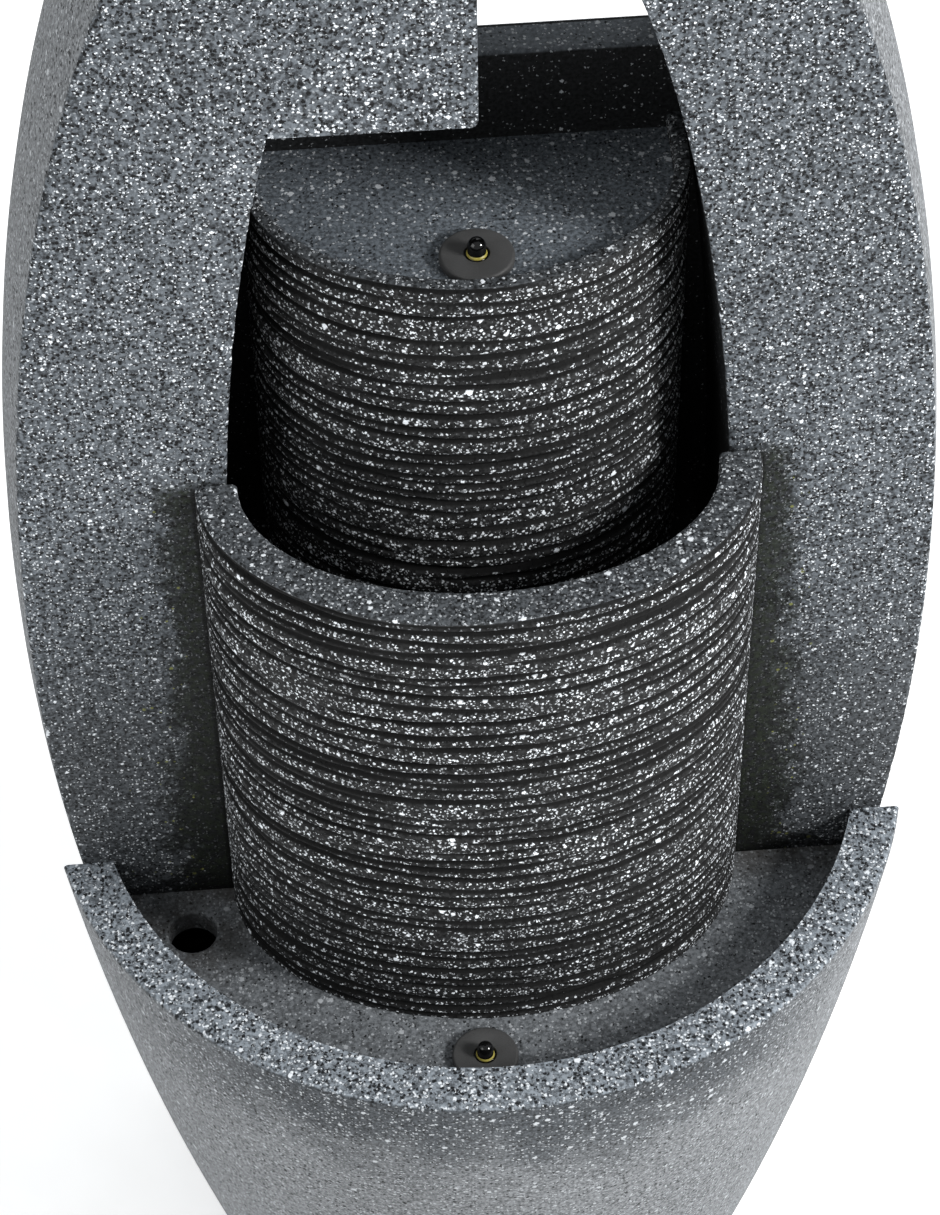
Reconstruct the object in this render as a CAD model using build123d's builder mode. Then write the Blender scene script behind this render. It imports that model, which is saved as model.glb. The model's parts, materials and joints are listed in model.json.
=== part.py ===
from build123d import *

import os
from math import pi, radians, sqrt, tan

# Tabletop water fountain, cast stone-resin, in millimetres.
# The origin is on the floor, on the vertical axis of the round base. +Z is up and the
# basin faces -Y. The base, its rim and the tall oval tower are all turned about that
# axis. The tower is the slab of a tall ellipsoid between two upright planes.

# ---------------------------------------------------------------- driving dimensions
FOOT_H = 4.0            # rubber feet under the base, one of them in the middle
FOOT_R = 10.0
FLOOR_Z = 184.0         # top of the basin floor
RIM_Z = 201.7           # top of the basin rim
WALL = 7.0              # cast wall of the base
SKIN = 6.0              # cast wall of the tower

# Base: a pot that widens upwards, flat at the back
RIM_R = 134.5
RIM_WALL = 15.0
TAPER = 0.109           # fall of the radius below the rim, mm per mm
BULGE = 0.000335        # and how much faster it falls further down
RIM_ROUND = 1.5
SHOULDER_Z = 150.0      # where the base starts to lean in under the tower
DECK_T = 8.0            # basin floor slab
LEDGE = 3.5             # inner ledge that carries it

# Tower: ellipsoid of revolution cut by the front and back planes
EGG_R = 134.0
EGG_HALF_H = 337.0
EGG_Z = 297.0
SLAB = 33.0             # half of the tower's depth
FRONT_T = 7.0

# Window: upright ellipse, its upper left filled by the spout block
WIN_RX = 71.8
WIN_RZ = 278.0
WIN_FOOT_Z = 300.0
BLOCK_X = 1.0
BLOCK_Z = 488.0

# Splash wall behind the tiers
SPLASH_Y = 20.0
SPLASH_TOP_Z = 468.0

# Lower tier: half an ellipse on the tower's front face
LOW_RX = 78.8
LOW_RY = 57.2
LOW_WALL = 12.0
LOW_RIM_Z = 366.0
POOL_T = 6.0

# Upper tier: half an ellipse with straight sides, inside the window
UP_RX = 60.5
UP_RY = 49.2
UP_Y = 4.6
UP_WALL = 4.5
UP_FLOOR_Z = 439.0
UP_RIM_Z = 444.4
BOWL_T = 6.0

# Holes and lights
DRAIN = (-92.0, -49.0)
DRAIN_R = 7.5
LED_LOW = (-5.6, -104.0)
LED_UP = (0.5, -28.0)
DISC_R = 10.0
DISC_H = 2.5
STEM_R = 4.0
LED_R = 2.5
LED_FLANGE_R = 2.9
LED_RISE = 5.0

# Pump, standing in the reservoir with its inlet to the rear
PUMP_X = -34.0
PUMP_Y = -2.0           # middle of the impeller chamber
HOSE_Y = PUMP_Y - 2.5   # the outlet and the hose stand a little behind it
PUMP_Z = FOOT_H + WALL + 5.0
PUMP_W = 44.0
PUMP_H = 36.0
MOTOR_L = 34.0
CHAMBER_R = 13.0
CHAMBER_L = 9.0
WELL_R = 8.2
WELL_L = 26.0
SHAFT_R = 1.0
COVER_T = 3.0
CAGE_L = 13.0
CAGE_T = 2.0
OUTLET_R = 5.0
RUN = 0.3               # running gap between moving and fixed faces

# Riser hose
HOSE_R = 6.5
HOSE_BORE_R = 5.05

# Rear access door, hinged on an upright pin
DOOR_W = 92.0
DOOR_H = 72.0
DOOR_T = 4.0
DOOR_Z = 125.0
DOOR_GAP = 0.5
DOOR_PROUD = 0.3        # how far the closed door lies below the back face
LIP = 4.0
CATCH_LIP = 10.0
HINGE_X = -49.0
HINGE_Y = SLAB + 3.2
BARREL_R = 3.0
PIN_R = 1.5
KNUCKLE = 16.0

SCREW_R = 1.5
BOSS_R = 4.5
LEAD_R = 1.6

os.makedirs("parts", exist_ok=True)


def save(piece, name):
    """Labels a finished piece and writes it under its node name."""
    piece.part.label = name
    export_step(piece.part, f"parts/{name}.step")


def egg_r(z, radius=EGG_R, half_height=EGG_HALF_H):
    """Radius of the ellipsoid at height z."""
    return radius * sqrt(1 - ((z - EGG_Z) / half_height) ** 2)


BACK = Plane.XZ.offset(-SLAB)           # the tower's back face, local y is up, -Y out
EGG_IN_R = EGG_R - SKIN
EGG_IN_H = EGG_HALF_H - SKIN
SLICE_IN = sqrt(1 - (SLAB / EGG_IN_R) ** 2)     # an ellipsoid cut by a plane is an ellipse
BASE_Z = FOOT_H
BIG = 400.0


# ---------------------------------------------------------------- base
def pot_r(z):
    """Outer radius of the pot at height z."""
    drop = RIM_Z - z
    return RIM_R - TAPER * drop - BULGE * drop**2


def pot_side(low, high, inset=0.0):
    """The pot's generator between two heights, moved in by inset."""
    points = [(pot_r(z) - inset, z) for z in (low, (low + high) / 2, high)]
    return ThreePointArc(*points)


# Whole solid pot, cut flat at the back
with BuildPart() as pot_blank:
    with BuildSketch(Plane.XZ):
        with BuildLine():
            side = pot_side(BASE_Z, RIM_Z)
            Polyline(side @ 1, (0, RIM_Z), (0, BASE_Z), side @ 0)
        make_face()
    revolve(axis=Axis.Z)
    fillet(pot_blank.edges().group_by(Axis.Z)[-1], RIM_ROUND)
    with Locations((0, SLAB - BIG / 2, BIG / 2)):
        Box(BIG, BIG, BIG, mode=Mode.INTERSECT)

# Space inside the pot: reservoir, ledge under the basin floor, and the basin itself
LEDGE_Z = FLOOR_Z - DECK_T
BASIN_R = RIM_R - RIM_WALL
LEDGE_R = BASIN_R - LEDGE
with BuildPart() as pot_space:
    with BuildSketch(Plane.XZ):
        with BuildLine():
            inside = pot_side(BASE_Z + WALL, SHOULDER_Z - LEDGE, WALL)
            Polyline(
                inside @ 1,
                (LEDGE_R, LEDGE_Z - LEDGE),
                (LEDGE_R, LEDGE_Z),
                (BASIN_R, LEDGE_Z),
                (BASIN_R, BIG),
                (0, BIG),
                (0, BASE_Z + WALL),
                inside @ 0,
            )
        make_face()
    revolve(axis=Axis.Z)
    with Locations((0, SLAB - WALL - BIG / 2, BIG / 2)):
        Box(BIG, BIG, BIG, mode=Mode.INTERSECT)

# Behind the tower's front plane the pot stops at the basin floor, and leans in to
# meet the tower's side
with BuildPart() as rear_trim:
    with BuildSketch(Plane.XZ):
        Polygon(
            (0, FLOOR_Z),
            (egg_r(FLOOR_Z), FLOOR_Z),
            (pot_r(SHOULDER_Z), SHOULDER_Z),
            (BIG, SHOULDER_Z),
            (BIG, BIG),
            (0, BIG),
            align=None,
        )
    revolve(axis=Axis.Z)
    with Locations((0, BIG / 2 - SLAB, BIG / 2)):
        Box(2 * BIG, BIG, BIG, mode=Mode.INTERSECT)

DOOR_LEFT = -DOOR_W / 2
DOOR_RIGHT = DOOR_W / 2
OPENING_W = DOOR_W - LIP - CATCH_LIP
OPENING_X = (LIP - CATCH_LIP) / 2
MAGNET_R = 3.0
MAGNET_T = 2.5
CATCH_X = DOOR_RIGHT - CATCH_LIP / 2
CATCH_Z = (DOOR_Z - 20.0, DOOR_Z + 20.0)
DOOR_BACK_Y = SLAB - DOOR_PROUD - DOOR_T
GLAND_X = 78.0
GLAND_Z = 112.0
GLAND_R = 4.0

with BuildPart() as base_shell:
    add(pot_blank.part)
    add(pot_space.part, mode=Mode.SUBTRACT)
    add(rear_trim.part, mode=Mode.SUBTRACT)
    with BuildSketch(BACK):
        with Locations((0, DOOR_Z)):
            Rectangle(DOOR_W + 2 * DOOR_GAP, DOOR_H + 2 * DOOR_GAP)
    extrude(amount=DOOR_T + 2 * DOOR_PROUD, mode=Mode.SUBTRACT)
    with BuildSketch(BACK):
        with Locations((OPENING_X, DOOR_Z)):
            Rectangle(OPENING_W, DOOR_H - 2 * LIP)
    extrude(amount=WALL, mode=Mode.SUBTRACT)
    with BuildSketch(BACK):
        with Locations((GLAND_X, GLAND_Z)):
            Circle(GLAND_R + 0.05)
        with Locations(*[(CATCH_X, z) for z in CATCH_Z]):
            Circle(MAGNET_R)
    extrude(amount=WALL, mode=Mode.SUBTRACT)
save(base_shell, "base_shell")

# ---------------------------------------------------------------- basin floor
RISER = (PUMP_X, HOSE_Y)
LEAD_UP = (12.0, -8.0)      # where the upper light's lead goes down
FIT = 0.05                  # slack between pieces that are bedded together
LEAD_SLACK = 1.0            # room round a lead or the hose in its hole
DRAIN_ROUND = 1.0           # worn edge of the drain hole

with BuildPart() as basin_floor:
    with BuildSketch(Plane.XY.offset(FLOOR_Z)):
        Circle(BASIN_R - FIT)
        with Locations((0, SLAB - WALL - BIG / 2)):
            Rectangle(BIG, BIG, mode=Mode.INTERSECT)
        with Locations(DRAIN):
            Circle(DRAIN_R, mode=Mode.SUBTRACT)
        with Locations(LED_LOW):
            Circle(STEM_R, mode=Mode.SUBTRACT)
        with Locations(RISER):
            Circle(HOSE_R + LEAD_SLACK, mode=Mode.SUBTRACT)
        with Locations(LEAD_UP):
            Circle(LEAD_R + LEAD_SLACK, mode=Mode.SUBTRACT)
    extrude(amount=-DECK_T)
    round_edges = basin_floor.edges().filter_by(GeomType.CIRCLE).group_by(Axis.Z)[-1]
    left_of_pump = [e for e in round_edges if e.arc_center.X < PUMP_X - DRAIN_R]
    drain_edges = [e for e in left_of_pump if abs(e.radius - DRAIN_R) < FIT]
    fillet(drain_edges, DRAIN_ROUND)
save(basin_floor, "basin_floor")


# ---------------------------------------------------------------- tower
def window_sketch(grow=0.0):
    """The window's outline, or the outside of its reveal when grown."""
    Ellipse(WIN_RX + grow, WIN_RZ + grow)
    with Locations((BLOCK_X - grow - BIG / 2, BLOCK_Z - EGG_Z + grow + BIG / 2)):
        Rectangle(BIG, BIG, mode=Mode.SUBTRACT)
    with Locations((0, WIN_FOOT_Z - EGG_Z - grow - BIG / 2)):
        Rectangle(BIG, BIG, mode=Mode.SUBTRACT)


def egg(radius, half_height, low_y, high_y):
    """The ellipsoid between two upright planes, standing on the basin floor."""
    with BuildPart() as solid:
        with BuildSketch(Plane.XZ):
            with Locations((0, EGG_Z)):
                Ellipse(radius, half_height)
            with Locations((BIG, EGG_Z)):
                Rectangle(2 * BIG, 2 * BIG, mode=Mode.INTERSECT)
        revolve(axis=Axis.Z)
        with Locations((0, (low_y + high_y) / 2, FLOOR_Z + BIG)):
            Box(2 * BIG, high_y - low_y, 2 * BIG, mode=Mode.INTERSECT)
    return solid.part


def boss_x(z):
    """Distance from the middle of a boss that stands against the tower's side."""
    inner = egg_r(z, EGG_IN_R, EGG_IN_H)
    return sqrt(inner**2 - SLAB**2) - 2 * BOSS_R


BACK_WIN = Plane((0, SLAB, EGG_Z), x_dir=(1, 0, 0), z_dir=(0, -1, 0))
COVER_Y = SLAB - 4.0        # front face of the rear cover
BOSSES = [(side * boss_x(z), z - EGG_Z) for z in (235.0, 330.0, 420.0) for side in (-1, 1)]
BOSSES += [(boss_x(510.0), 510.0 - EGG_Z), (-66.0, 508.0 - EGG_Z), (0.0, 598.0 - EGG_Z)]
NOZZLE_X = -24.0
NOZZLE_Y = HOSE_Y
NOZZLE_R = 7.5

with BuildPart() as tower_shell:
    add(egg(EGG_R, EGG_HALF_H, -SLAB, SLAB))
    add(egg(EGG_IN_R, EGG_IN_H, FRONT_T - SLAB, SLAB), mode=Mode.SUBTRACT)
    with BuildSketch(BACK_WIN):
        window_sketch(SKIN)
    extrude(amount=2 * SLAB - FRONT_T / 2)
    with BuildSketch(BACK_WIN):
        with Locations(*BOSSES):
            Circle(BOSS_R)
    extrude(amount=2 * SLAB - FRONT_T / 2)
    with BuildSketch(BACK_WIN):
        window_sketch()
    extrude(amount=2 * SLAB, mode=Mode.SUBTRACT)
    with BuildSketch(BACK_WIN):
        with Locations(*BOSSES):
            Circle(BOSS_R)
    extrude(amount=SLAB - COVER_Y, mode=Mode.SUBTRACT)
    with BuildSketch(BACK_WIN):
        with Locations(*BOSSES):
            Circle(SCREW_R)
    extrude(amount=4 * (SLAB - COVER_Y), mode=Mode.SUBTRACT)
    with BuildSketch(Plane.XY.offset(BLOCK_Z)):
        with Locations((NOZZLE_X, NOZZLE_Y)):
            Circle(NOZZLE_R + FIT)
    extrude(amount=SKIN, mode=Mode.SUBTRACT)
    with BuildSketch(Plane.XY.offset(WIN_FOOT_Z)):
        with Locations(LEAD_UP):
            Circle(LEAD_R + LEAD_SLACK)
    extrude(amount=-SKIN, mode=Mode.SUBTRACT)
save(tower_shell, "tower_shell")

with BuildPart() as tower_back:
    with BuildSketch(BACK_WIN):
        Ellipse(EGG_IN_R * SLICE_IN - FIT, EGG_IN_H * SLICE_IN - FIT)
        with Locations((0, FLOOR_Z - EGG_Z + BIG)):
            Rectangle(2 * BIG, 2 * BIG, mode=Mode.INTERSECT)
        with BuildSketch(mode=Mode.SUBTRACT):
            window_sketch(SKIN + FIT)
        with Locations(*BOSSES):
            Circle(SCREW_R + 0.2, mode=Mode.SUBTRACT)
    extrude(amount=SLAB - COVER_Y)
save(tower_back, "tower_back")

with BuildPart() as splash_wall:
    with BuildSketch(BACK_WIN):
        Ellipse(WIN_RX - FIT, WIN_RZ - FIT)
        with Locations((0, (WIN_FOOT_Z + SPLASH_TOP_Z) / 2 - EGG_Z)):
            Rectangle(BIG, SPLASH_TOP_Z - WIN_FOOT_Z, mode=Mode.INTERSECT)
    extrude(amount=SLAB - SPLASH_Y)
    top = splash_wall.faces().sort_by(Axis.Z)[-1]
    fillet(top.edges().filter_by(Axis.X), 1.5)
save(splash_wall, "splash_wall")

# Pan-head screws through the rear cover into the bosses
SCREW_L = 12.0
HEAD_T = 1.8
with BuildPart() as cover_screws:
    with BuildSketch(BACK_WIN):
        with Locations(*BOSSES):
            Circle(SCREW_R - FIT)
    extrude(amount=SCREW_L)
    with BuildSketch(BACK_WIN):
        with Locations(*BOSSES):
            Circle(2 * SCREW_R)
    extrude(amount=-HEAD_T)
    fillet(cover_screws.faces().group_by(Axis.Y)[-1].edges(), 0.8)
save(cover_screws, "cover_screws")


# ---------------------------------------------------------------- tiers
def half_ellipse(rx, ry, back):
    """Front half of an ellipse, with straight sides running back to a given depth."""
    with BuildSketch() as shape:
        with BuildLine():
            nose = EllipticalCenterArc((0, 0), rx, ry, start_angle=180, arc_size=180)
            Polyline(nose @ 1, (rx, back), (-rx, back), nose @ 0)
        make_face()
    return shape.sketch


def tier_plane(z, y):
    return Plane((0, y, z))


with BuildPart() as lower_tier:
    with BuildSketch(tier_plane(FLOOR_Z, -SLAB)):
        with BuildLine():
            outer = EllipticalCenterArc((0, 0), LOW_RX, LOW_RY, start_angle=180, arc_size=180)
            inner_rx, inner_ry = LOW_RX - LOW_WALL, LOW_RY - LOW_WALL
            inner = EllipticalCenterArc((0, 0), inner_rx, inner_ry, start_angle=180, arc_size=180)
            Line(outer @ 0, inner @ 0)
            Line(outer @ 1, inner @ 1)
        make_face()
    extrude(amount=LOW_RIM_Z - FLOOR_Z)
    rim = lower_tier.faces().sort_by(Axis.Z)[-1]
    fillet(rim.edges().filter_by(GeomType.ELLIPSE), 2.0)
save(lower_tier, "lower_tier")

# The pool between the tiers: a slab from the tier's nose back to the splash wall
with BuildPart() as lower_pool_floor:
    with BuildSketch(tier_plane(WIN_FOOT_Z, -SLAB)):
        add(half_ellipse(LOW_RX - LOW_WALL - FIT, LOW_RY - LOW_WALL - FIT, SLAB + SPLASH_Y))
        with Locations((LEAD_UP[0], LEAD_UP[1] + SLAB)):
            Circle(LEAD_R + LEAD_SLACK, mode=Mode.SUBTRACT)
    extrude(amount=POOL_T)
save(lower_pool_floor, "lower_pool_floor")

TIER_FOOT_Z = WIN_FOOT_Z + POOL_T
with BuildPart() as upper_tier:
    with BuildSketch(tier_plane(TIER_FOOT_Z, UP_Y)):
        add(half_ellipse(UP_RX, UP_RY, SPLASH_Y - UP_Y))
        add(half_ellipse(UP_RX - UP_WALL, UP_RY - UP_WALL, BIG), mode=Mode.SUBTRACT)
    extrude(amount=UP_RIM_Z - TIER_FOOT_Z)
    rim = upper_tier.faces().sort_by(Axis.Z)[-1]
    fillet(rim.edges().filter_by(GeomType.ELLIPSE), 1.2)
save(upper_tier, "upper_tier")

with BuildPart() as upper_bowl_floor:
    with BuildSketch(tier_plane(UP_FLOOR_Z, UP_Y)):
        add(half_ellipse(UP_RX - UP_WALL - FIT, UP_RY - UP_WALL - FIT, SPLASH_Y - UP_Y))
        with Locations((LED_UP[0], LED_UP[1] - UP_Y)):
            Circle(STEM_R, mode=Mode.SUBTRACT)
    extrude(amount=-BOWL_T)
save(upper_bowl_floor, "upper_bowl_floor")


# ---------------------------------------------------------------- lights
STEM_L = 12.0
CAN_L = 6.0             # straight part of the bulb under its dome


def make_light(name, place, floor_z):
    """A rubber disc with a stem through the floor, and the bulb pressed into it."""
    with BuildPart() as disc:
        with BuildSketch(Plane.XY.offset(floor_z)):
            with Locations(place):
                Circle(DISC_R)
        extrude(amount=DISC_H)
        fillet(disc.faces().sort_by(Axis.Z)[-1].edges(), 1.0)
        with BuildSketch(Plane.XY.offset(floor_z)):
            with Locations(place):
                Circle(STEM_R - FIT)
        extrude(amount=-STEM_L)
        with BuildSketch(Plane.XY.offset(floor_z + DISC_H)):
            with Locations(place):
                Circle(LED_FLANGE_R + FIT)
        extrude(amount=-DISC_H / 2, mode=Mode.SUBTRACT)
        with BuildSketch(Plane.XY.offset(floor_z + DISC_H)):
            with Locations(place):
                Circle(LED_R + FIT)
        extrude(amount=-CAN_L - DISC_H, mode=Mode.SUBTRACT)
        with BuildSketch(Plane.XY.offset(floor_z)):
            with Locations(place):
                Circle(LEAD_R)
        extrude(amount=-STEM_L, mode=Mode.SUBTRACT)
    save(disc, f"light_disc_{name}")

    seat = floor_z + DISC_H / 2
    top = floor_z + DISC_H + LED_RISE
    with BuildPart() as bulb:
        with BuildSketch(Plane.XZ):
            with BuildLine():
                Polyline(
                    (0, seat - CAN_L / 2),
                    (LED_R, seat - CAN_L / 2),
                    (LED_R, seat),
                    (LED_FLANGE_R, seat),
                    (LED_FLANGE_R, seat + 1.0),
                    (LED_R, seat + 1.0),
                    (LED_R, top - LED_R),
                )
                CenterArc((0, top - LED_R), LED_R, 0, 90)
                Line((0, top), (0, seat - CAN_L / 2))
            make_face()
        revolve(axis=Axis.Z)
    bulb.part = bulb.part.moved(Location((place[0], place[1], 0)))
    save(bulb, f"light_bulb_{name}")


make_light("lower", LED_LOW, FLOOR_Z)
make_light("upper", LED_UP, UP_FLOOR_Z)


# ---------------------------------------------------------------- pump
CHAMBER_FRONT = PUMP_Y + CHAMBER_L / 2
CHAMBER_BACK = PUMP_Y - CHAMBER_L / 2
AXLE_Z = PUMP_Z + PUMP_H / 2
COVER_FRONT = CHAMBER_FRONT + COVER_T
CAGE_FRONT = COVER_FRONT + CAGE_L
SPIN = Plane((PUMP_X, CHAMBER_FRONT, AXLE_Z), x_dir=(1, 0, 0), z_dir=(0, -1, 0))
OUTLET_TOP = PUMP_Z + PUMP_H + 22.0
PORT_R = 6.5
PORT_T = 4.0
COIL_L = 12.0
PUMP_ROUND = 6.0        # corner radius of the pump's outline
COIL_IN = 9.0           # how much closer the coils' slots stand than the pump's width
COIL_DOWN = 14.0        # how much shorter they are than the pump's height
COIL_W = 6.0
TUBE_WALL = 1.5
HUB_R = 3.0


def on_axle(y):
    """Sketch plane across the pump's axle at depth y, facing -Y."""
    return Plane((PUMP_X, y, AXLE_Z), x_dir=(1, 0, 0), z_dir=(0, -1, 0))


with BuildPart() as pump_body:
    with BuildSketch(SPIN):
        RectangleRounded(PUMP_W, PUMP_H, PUMP_ROUND)
    extrude(amount=CHAMBER_L + MOTOR_L)
    with BuildSketch(SPIN):
        Circle(CHAMBER_R)
    extrude(amount=CHAMBER_L, mode=Mode.SUBTRACT)
    with BuildSketch(on_axle(CHAMBER_BACK)):
        Circle(WELL_R)
    extrude(amount=WELL_L, mode=Mode.SUBTRACT)
    with BuildSketch(on_axle(CHAMBER_BACK - WELL_L)):
        Circle(SHAFT_R + FIT)
    extrude(amount=4.0, mode=Mode.SUBTRACT)
    with BuildSketch(Plane.XY.offset(PUMP_Z + PUMP_H)):
        with Locations(RISER):
            Circle(PORT_R + FIT)
    extrude(amount=-PORT_T, mode=Mode.SUBTRACT)
    with BuildSketch(Plane.XY.offset(PUMP_Z + PUMP_H)):
        with Locations(RISER):
            Circle(OUTLET_R - TUBE_WALL)
    extrude(amount=-PUMP_H / 2, mode=Mode.SUBTRACT)
    with BuildSketch(on_axle(CHAMBER_BACK)):
        with GridLocations(PUMP_W - COIL_IN, 0, 2, 1):
            SlotOverall(PUMP_H - COIL_DOWN, COIL_W, rotation=90)
    extrude(amount=COIL_L + WALL, mode=Mode.SUBTRACT)
save(pump_body, "pump_body")

# Copper windings, one each side of the rotor's well
with BuildPart() as pump_coils:
    with BuildSketch(on_axle(CHAMBER_BACK - 2.0)):
        with GridLocations(PUMP_W - COIL_IN, 0, 2, 1):
            SlotOverall(PUMP_H - COIL_DOWN - 2 * RUN, COIL_W - 2 * RUN, rotation=90)
    extrude(amount=COIL_L)
save(pump_coils, "pump_coils")

with BuildPart() as pump_shaft:
    with BuildSketch(on_axle(COVER_FRONT - 1.0)):
        Circle(SHAFT_R)
    extrude(amount=CHAMBER_L + WELL_L + COVER_T + 1.5)
save(pump_shaft, "pump_shaft")

VANE_TIP_R = CHAMBER_R - 1.5
VANES = 6
VANE_T = 1.2
with BuildPart() as pump_impeller:
    with BuildSketch(on_axle(CHAMBER_BACK - 1.0)):
        Circle(WELL_R - 2 * RUN)
    extrude(amount=WELL_L - 3.0)
    with BuildSketch(on_axle(CHAMBER_BACK + 2.0)):
        Circle(WELL_R - HUB_R)
    extrude(amount=3.0)
    with BuildSketch(on_axle(CHAMBER_FRONT - 1.0)):
        Circle(HUB_R)
        with PolarLocations(0, VANES):
            Rectangle(VANE_TIP_R, VANE_T, align=(Align.MIN, Align.CENTER))
    extrude(amount=CHAMBER_L - HUB_R)
    with BuildSketch(SPIN):
        Circle(SHAFT_R + FIT)
    extrude(amount=CHAMBER_L + WELL_L, mode=Mode.SUBTRACT)
save(pump_impeller, "pump_impeller")

with BuildPart() as pump_cover:
    with BuildSketch(on_axle(COVER_FRONT)):
        RectangleRounded(PUMP_W, PUMP_H, PUMP_ROUND)
        with PolarLocations(5.0, 3, 30):
            SlotOverall(4.5, 2.4, mode=Mode.SUBTRACT)
    extrude(amount=COVER_T)
    with BuildSketch(on_axle(CHAMBER_FRONT)):
        Circle(SHAFT_R + FIT)
    extrude(amount=-COVER_T + 1.0, mode=Mode.SUBTRACT)
save(pump_cover, "pump_cover")

# Slotted cage over the inlet, with a sponge inside and the flow dial on its face
DIAL_R = 8.0
DIAL_X = -10.0
SLOTS_X = 9.0
with BuildPart() as inlet_cage:
    with BuildSketch(on_axle(CAGE_FRONT)):
        RectangleRounded(PUMP_W, PUMP_H, PUMP_ROUND)
    extrude(amount=CAGE_L)
    with BuildSketch(on_axle(CAGE_FRONT - CAGE_T)):
        RectangleRounded(PUMP_W - 2 * CAGE_T, PUMP_H - 2 * CAGE_T, 4.0)
    extrude(amount=CAGE_L, mode=Mode.SUBTRACT)
    with BuildSketch(on_axle(CAGE_FRONT)):
        with Locations((SLOTS_X, 0)):
            with GridLocations(0, 4.5, 1, 6):
                SlotOverall(18.0, 2.2)
        with Locations((DIAL_X, 0)):
            Circle(2.0 + FIT)
    extrude(amount=CAGE_T, mode=Mode.SUBTRACT)
save(inlet_cage, "inlet_cage")

with BuildPart() as inlet_sponge:
    with BuildSketch(on_axle(CAGE_FRONT - CAGE_T - 2.5)):
        RectangleRounded(PUMP_W - 2 * CAGE_T - 1.0, PUMP_H - 2 * CAGE_T - 1.0, 3.5)
    extrude(amount=CAGE_L - CAGE_T - 3.5)
save(inlet_sponge, "inlet_sponge")

DIAL_PLANE = Plane((PUMP_X + DIAL_X, CAGE_FRONT, AXLE_Z), x_dir=(1, 0, 0), z_dir=(0, 1, 0))
with BuildPart() as flow_dial:
    with BuildSketch(DIAL_PLANE.offset(RUN)):
        Circle(DIAL_R)
    extrude(amount=2.5)
    with BuildSketch(DIAL_PLANE.offset(RUN + 2.5)):
        SlotOverall(2 * DIAL_R - 3.0, 3.0)
    extrude(amount=2.0)
    with BuildSketch(DIAL_PLANE.offset(RUN)):
        Circle(2.0)
    extrude(amount=-CAGE_T - 2 * RUN)
save(flow_dial, "flow_dial")

with BuildPart() as pump_outlet:
    with BuildSketch(Plane.XZ):
        with BuildLine():
            Polyline(
                (OUTLET_R - 1.5, PUMP_Z + PUMP_H - PORT_T),
                (PORT_R, PUMP_Z + PUMP_H - PORT_T),
                (PORT_R, PUMP_Z + PUMP_H + 2.0),
                (OUTLET_R, PUMP_Z + PUMP_H + 2.0),
                (OUTLET_R, OUTLET_TOP - 1.0),
                (OUTLET_R - 1.0, OUTLET_TOP),
                (OUTLET_R - 1.5, OUTLET_TOP),
                close=True,
            )
        make_face()
    revolve(axis=Axis.Z)
pump_outlet.part = pump_outlet.part.moved(Location((*RISER, 0)))
save(pump_outlet, "pump_outlet")

PUMP_MID_Y = CHAMBER_FRONT - (CHAMBER_L + MOTOR_L) / 2
with BuildPart() as pump_suckers:
    with BuildSketch(Plane.XY.offset(BASE_Z + WALL)):
        with Locations((PUMP_X, PUMP_MID_Y)):
            with GridLocations(PUMP_W - 16.0, MOTOR_L - 8.0, 2, 2):
                Circle(6.5)
    extrude(amount=5.0, taper=22)
save(pump_suckers, "pump_suckers")


# ---------------------------------------------------------------- riser hose, spout
ELBOW_Z = 528.0
HOSE_END_X = -48.0
HOSE_FOOT = OUTLET_TOP - 18.0
HOSE_ROUTE = [
    (PUMP_X, HOSE_Y, HOSE_FOOT),
    (PUMP_X, HOSE_Y, 222.0),
    (-96.0, HOSE_Y, 300.0),
    (-92.0, HOSE_Y, 410.0),
    (-82.0, HOSE_Y, ELBOW_Z),
    (HOSE_END_X, HOSE_Y, ELBOW_Z),
]


def bend_radii(route, longest):
    """One radius per corner: 0.45 of the shorter run over the tangent of half the
    turn, and no more than the longest asked for."""
    radii = []
    for before, corner, after in zip(route, route[1:], route[2:]):
        a = Vector(*corner) - Vector(*before)
        b = Vector(*after) - Vector(*corner)
        half = a.get_angle(b) / 2
        radii.append(min(longest, 0.45 * min(a.length, b.length) / tan(radians(half))))
    return radii


def hose(route, outer, bore, longest):
    """A round hose or lead along straight runs joined by tangent arcs."""
    radii = bend_radii(route, longest)
    print("bend radii", [round(r, 1) for r in radii])
    with BuildPart() as tube:
        with BuildLine() as path:
            FilletPolyline(*route, radius=radii)
        with BuildSketch(path.line ^ 0):
            Circle(outer)
            if bore:
                Circle(bore, mode=Mode.SUBTRACT)
        sweep()
    swept = pi * (outer**2 - bore**2) * path.wires()[0].length
    print("volume over section times length", round(tube.part.volume / swept, 4))
    return tube


riser_hose = hose(HOSE_ROUTE, HOSE_R, HOSE_BORE_R, 120.0)
save(riser_hose, "riser_hose")

# Moulded elbow: a barb into the hose, a quarter turn, and the nozzle in the block
ELBOW_R = 14.0
ELBOW_X = NOZZLE_X - ELBOW_R
with BuildPart() as spout_elbow:
    with BuildLine() as elbow_line:
        Line((HOSE_END_X - 14.0, HOSE_Y, ELBOW_Z), (ELBOW_X, HOSE_Y, ELBOW_Z))
        ThreePointArc(
            (ELBOW_X, HOSE_Y, ELBOW_Z),
            (ELBOW_X + ELBOW_R * sqrt(0.5), HOSE_Y, ELBOW_Z - ELBOW_R * (1 - sqrt(0.5))),
            (NOZZLE_X, HOSE_Y, ELBOW_Z - ELBOW_R),
        )
        Line((NOZZLE_X, HOSE_Y, ELBOW_Z - ELBOW_R), (NOZZLE_X, HOSE_Y, BLOCK_Z + 12.0))
    with BuildSketch(elbow_line.line ^ 0):
        Circle(OUTLET_R)
        Circle(OUTLET_R - 1.5, mode=Mode.SUBTRACT)
    sweep()
save(spout_elbow, "spout_elbow")

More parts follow.
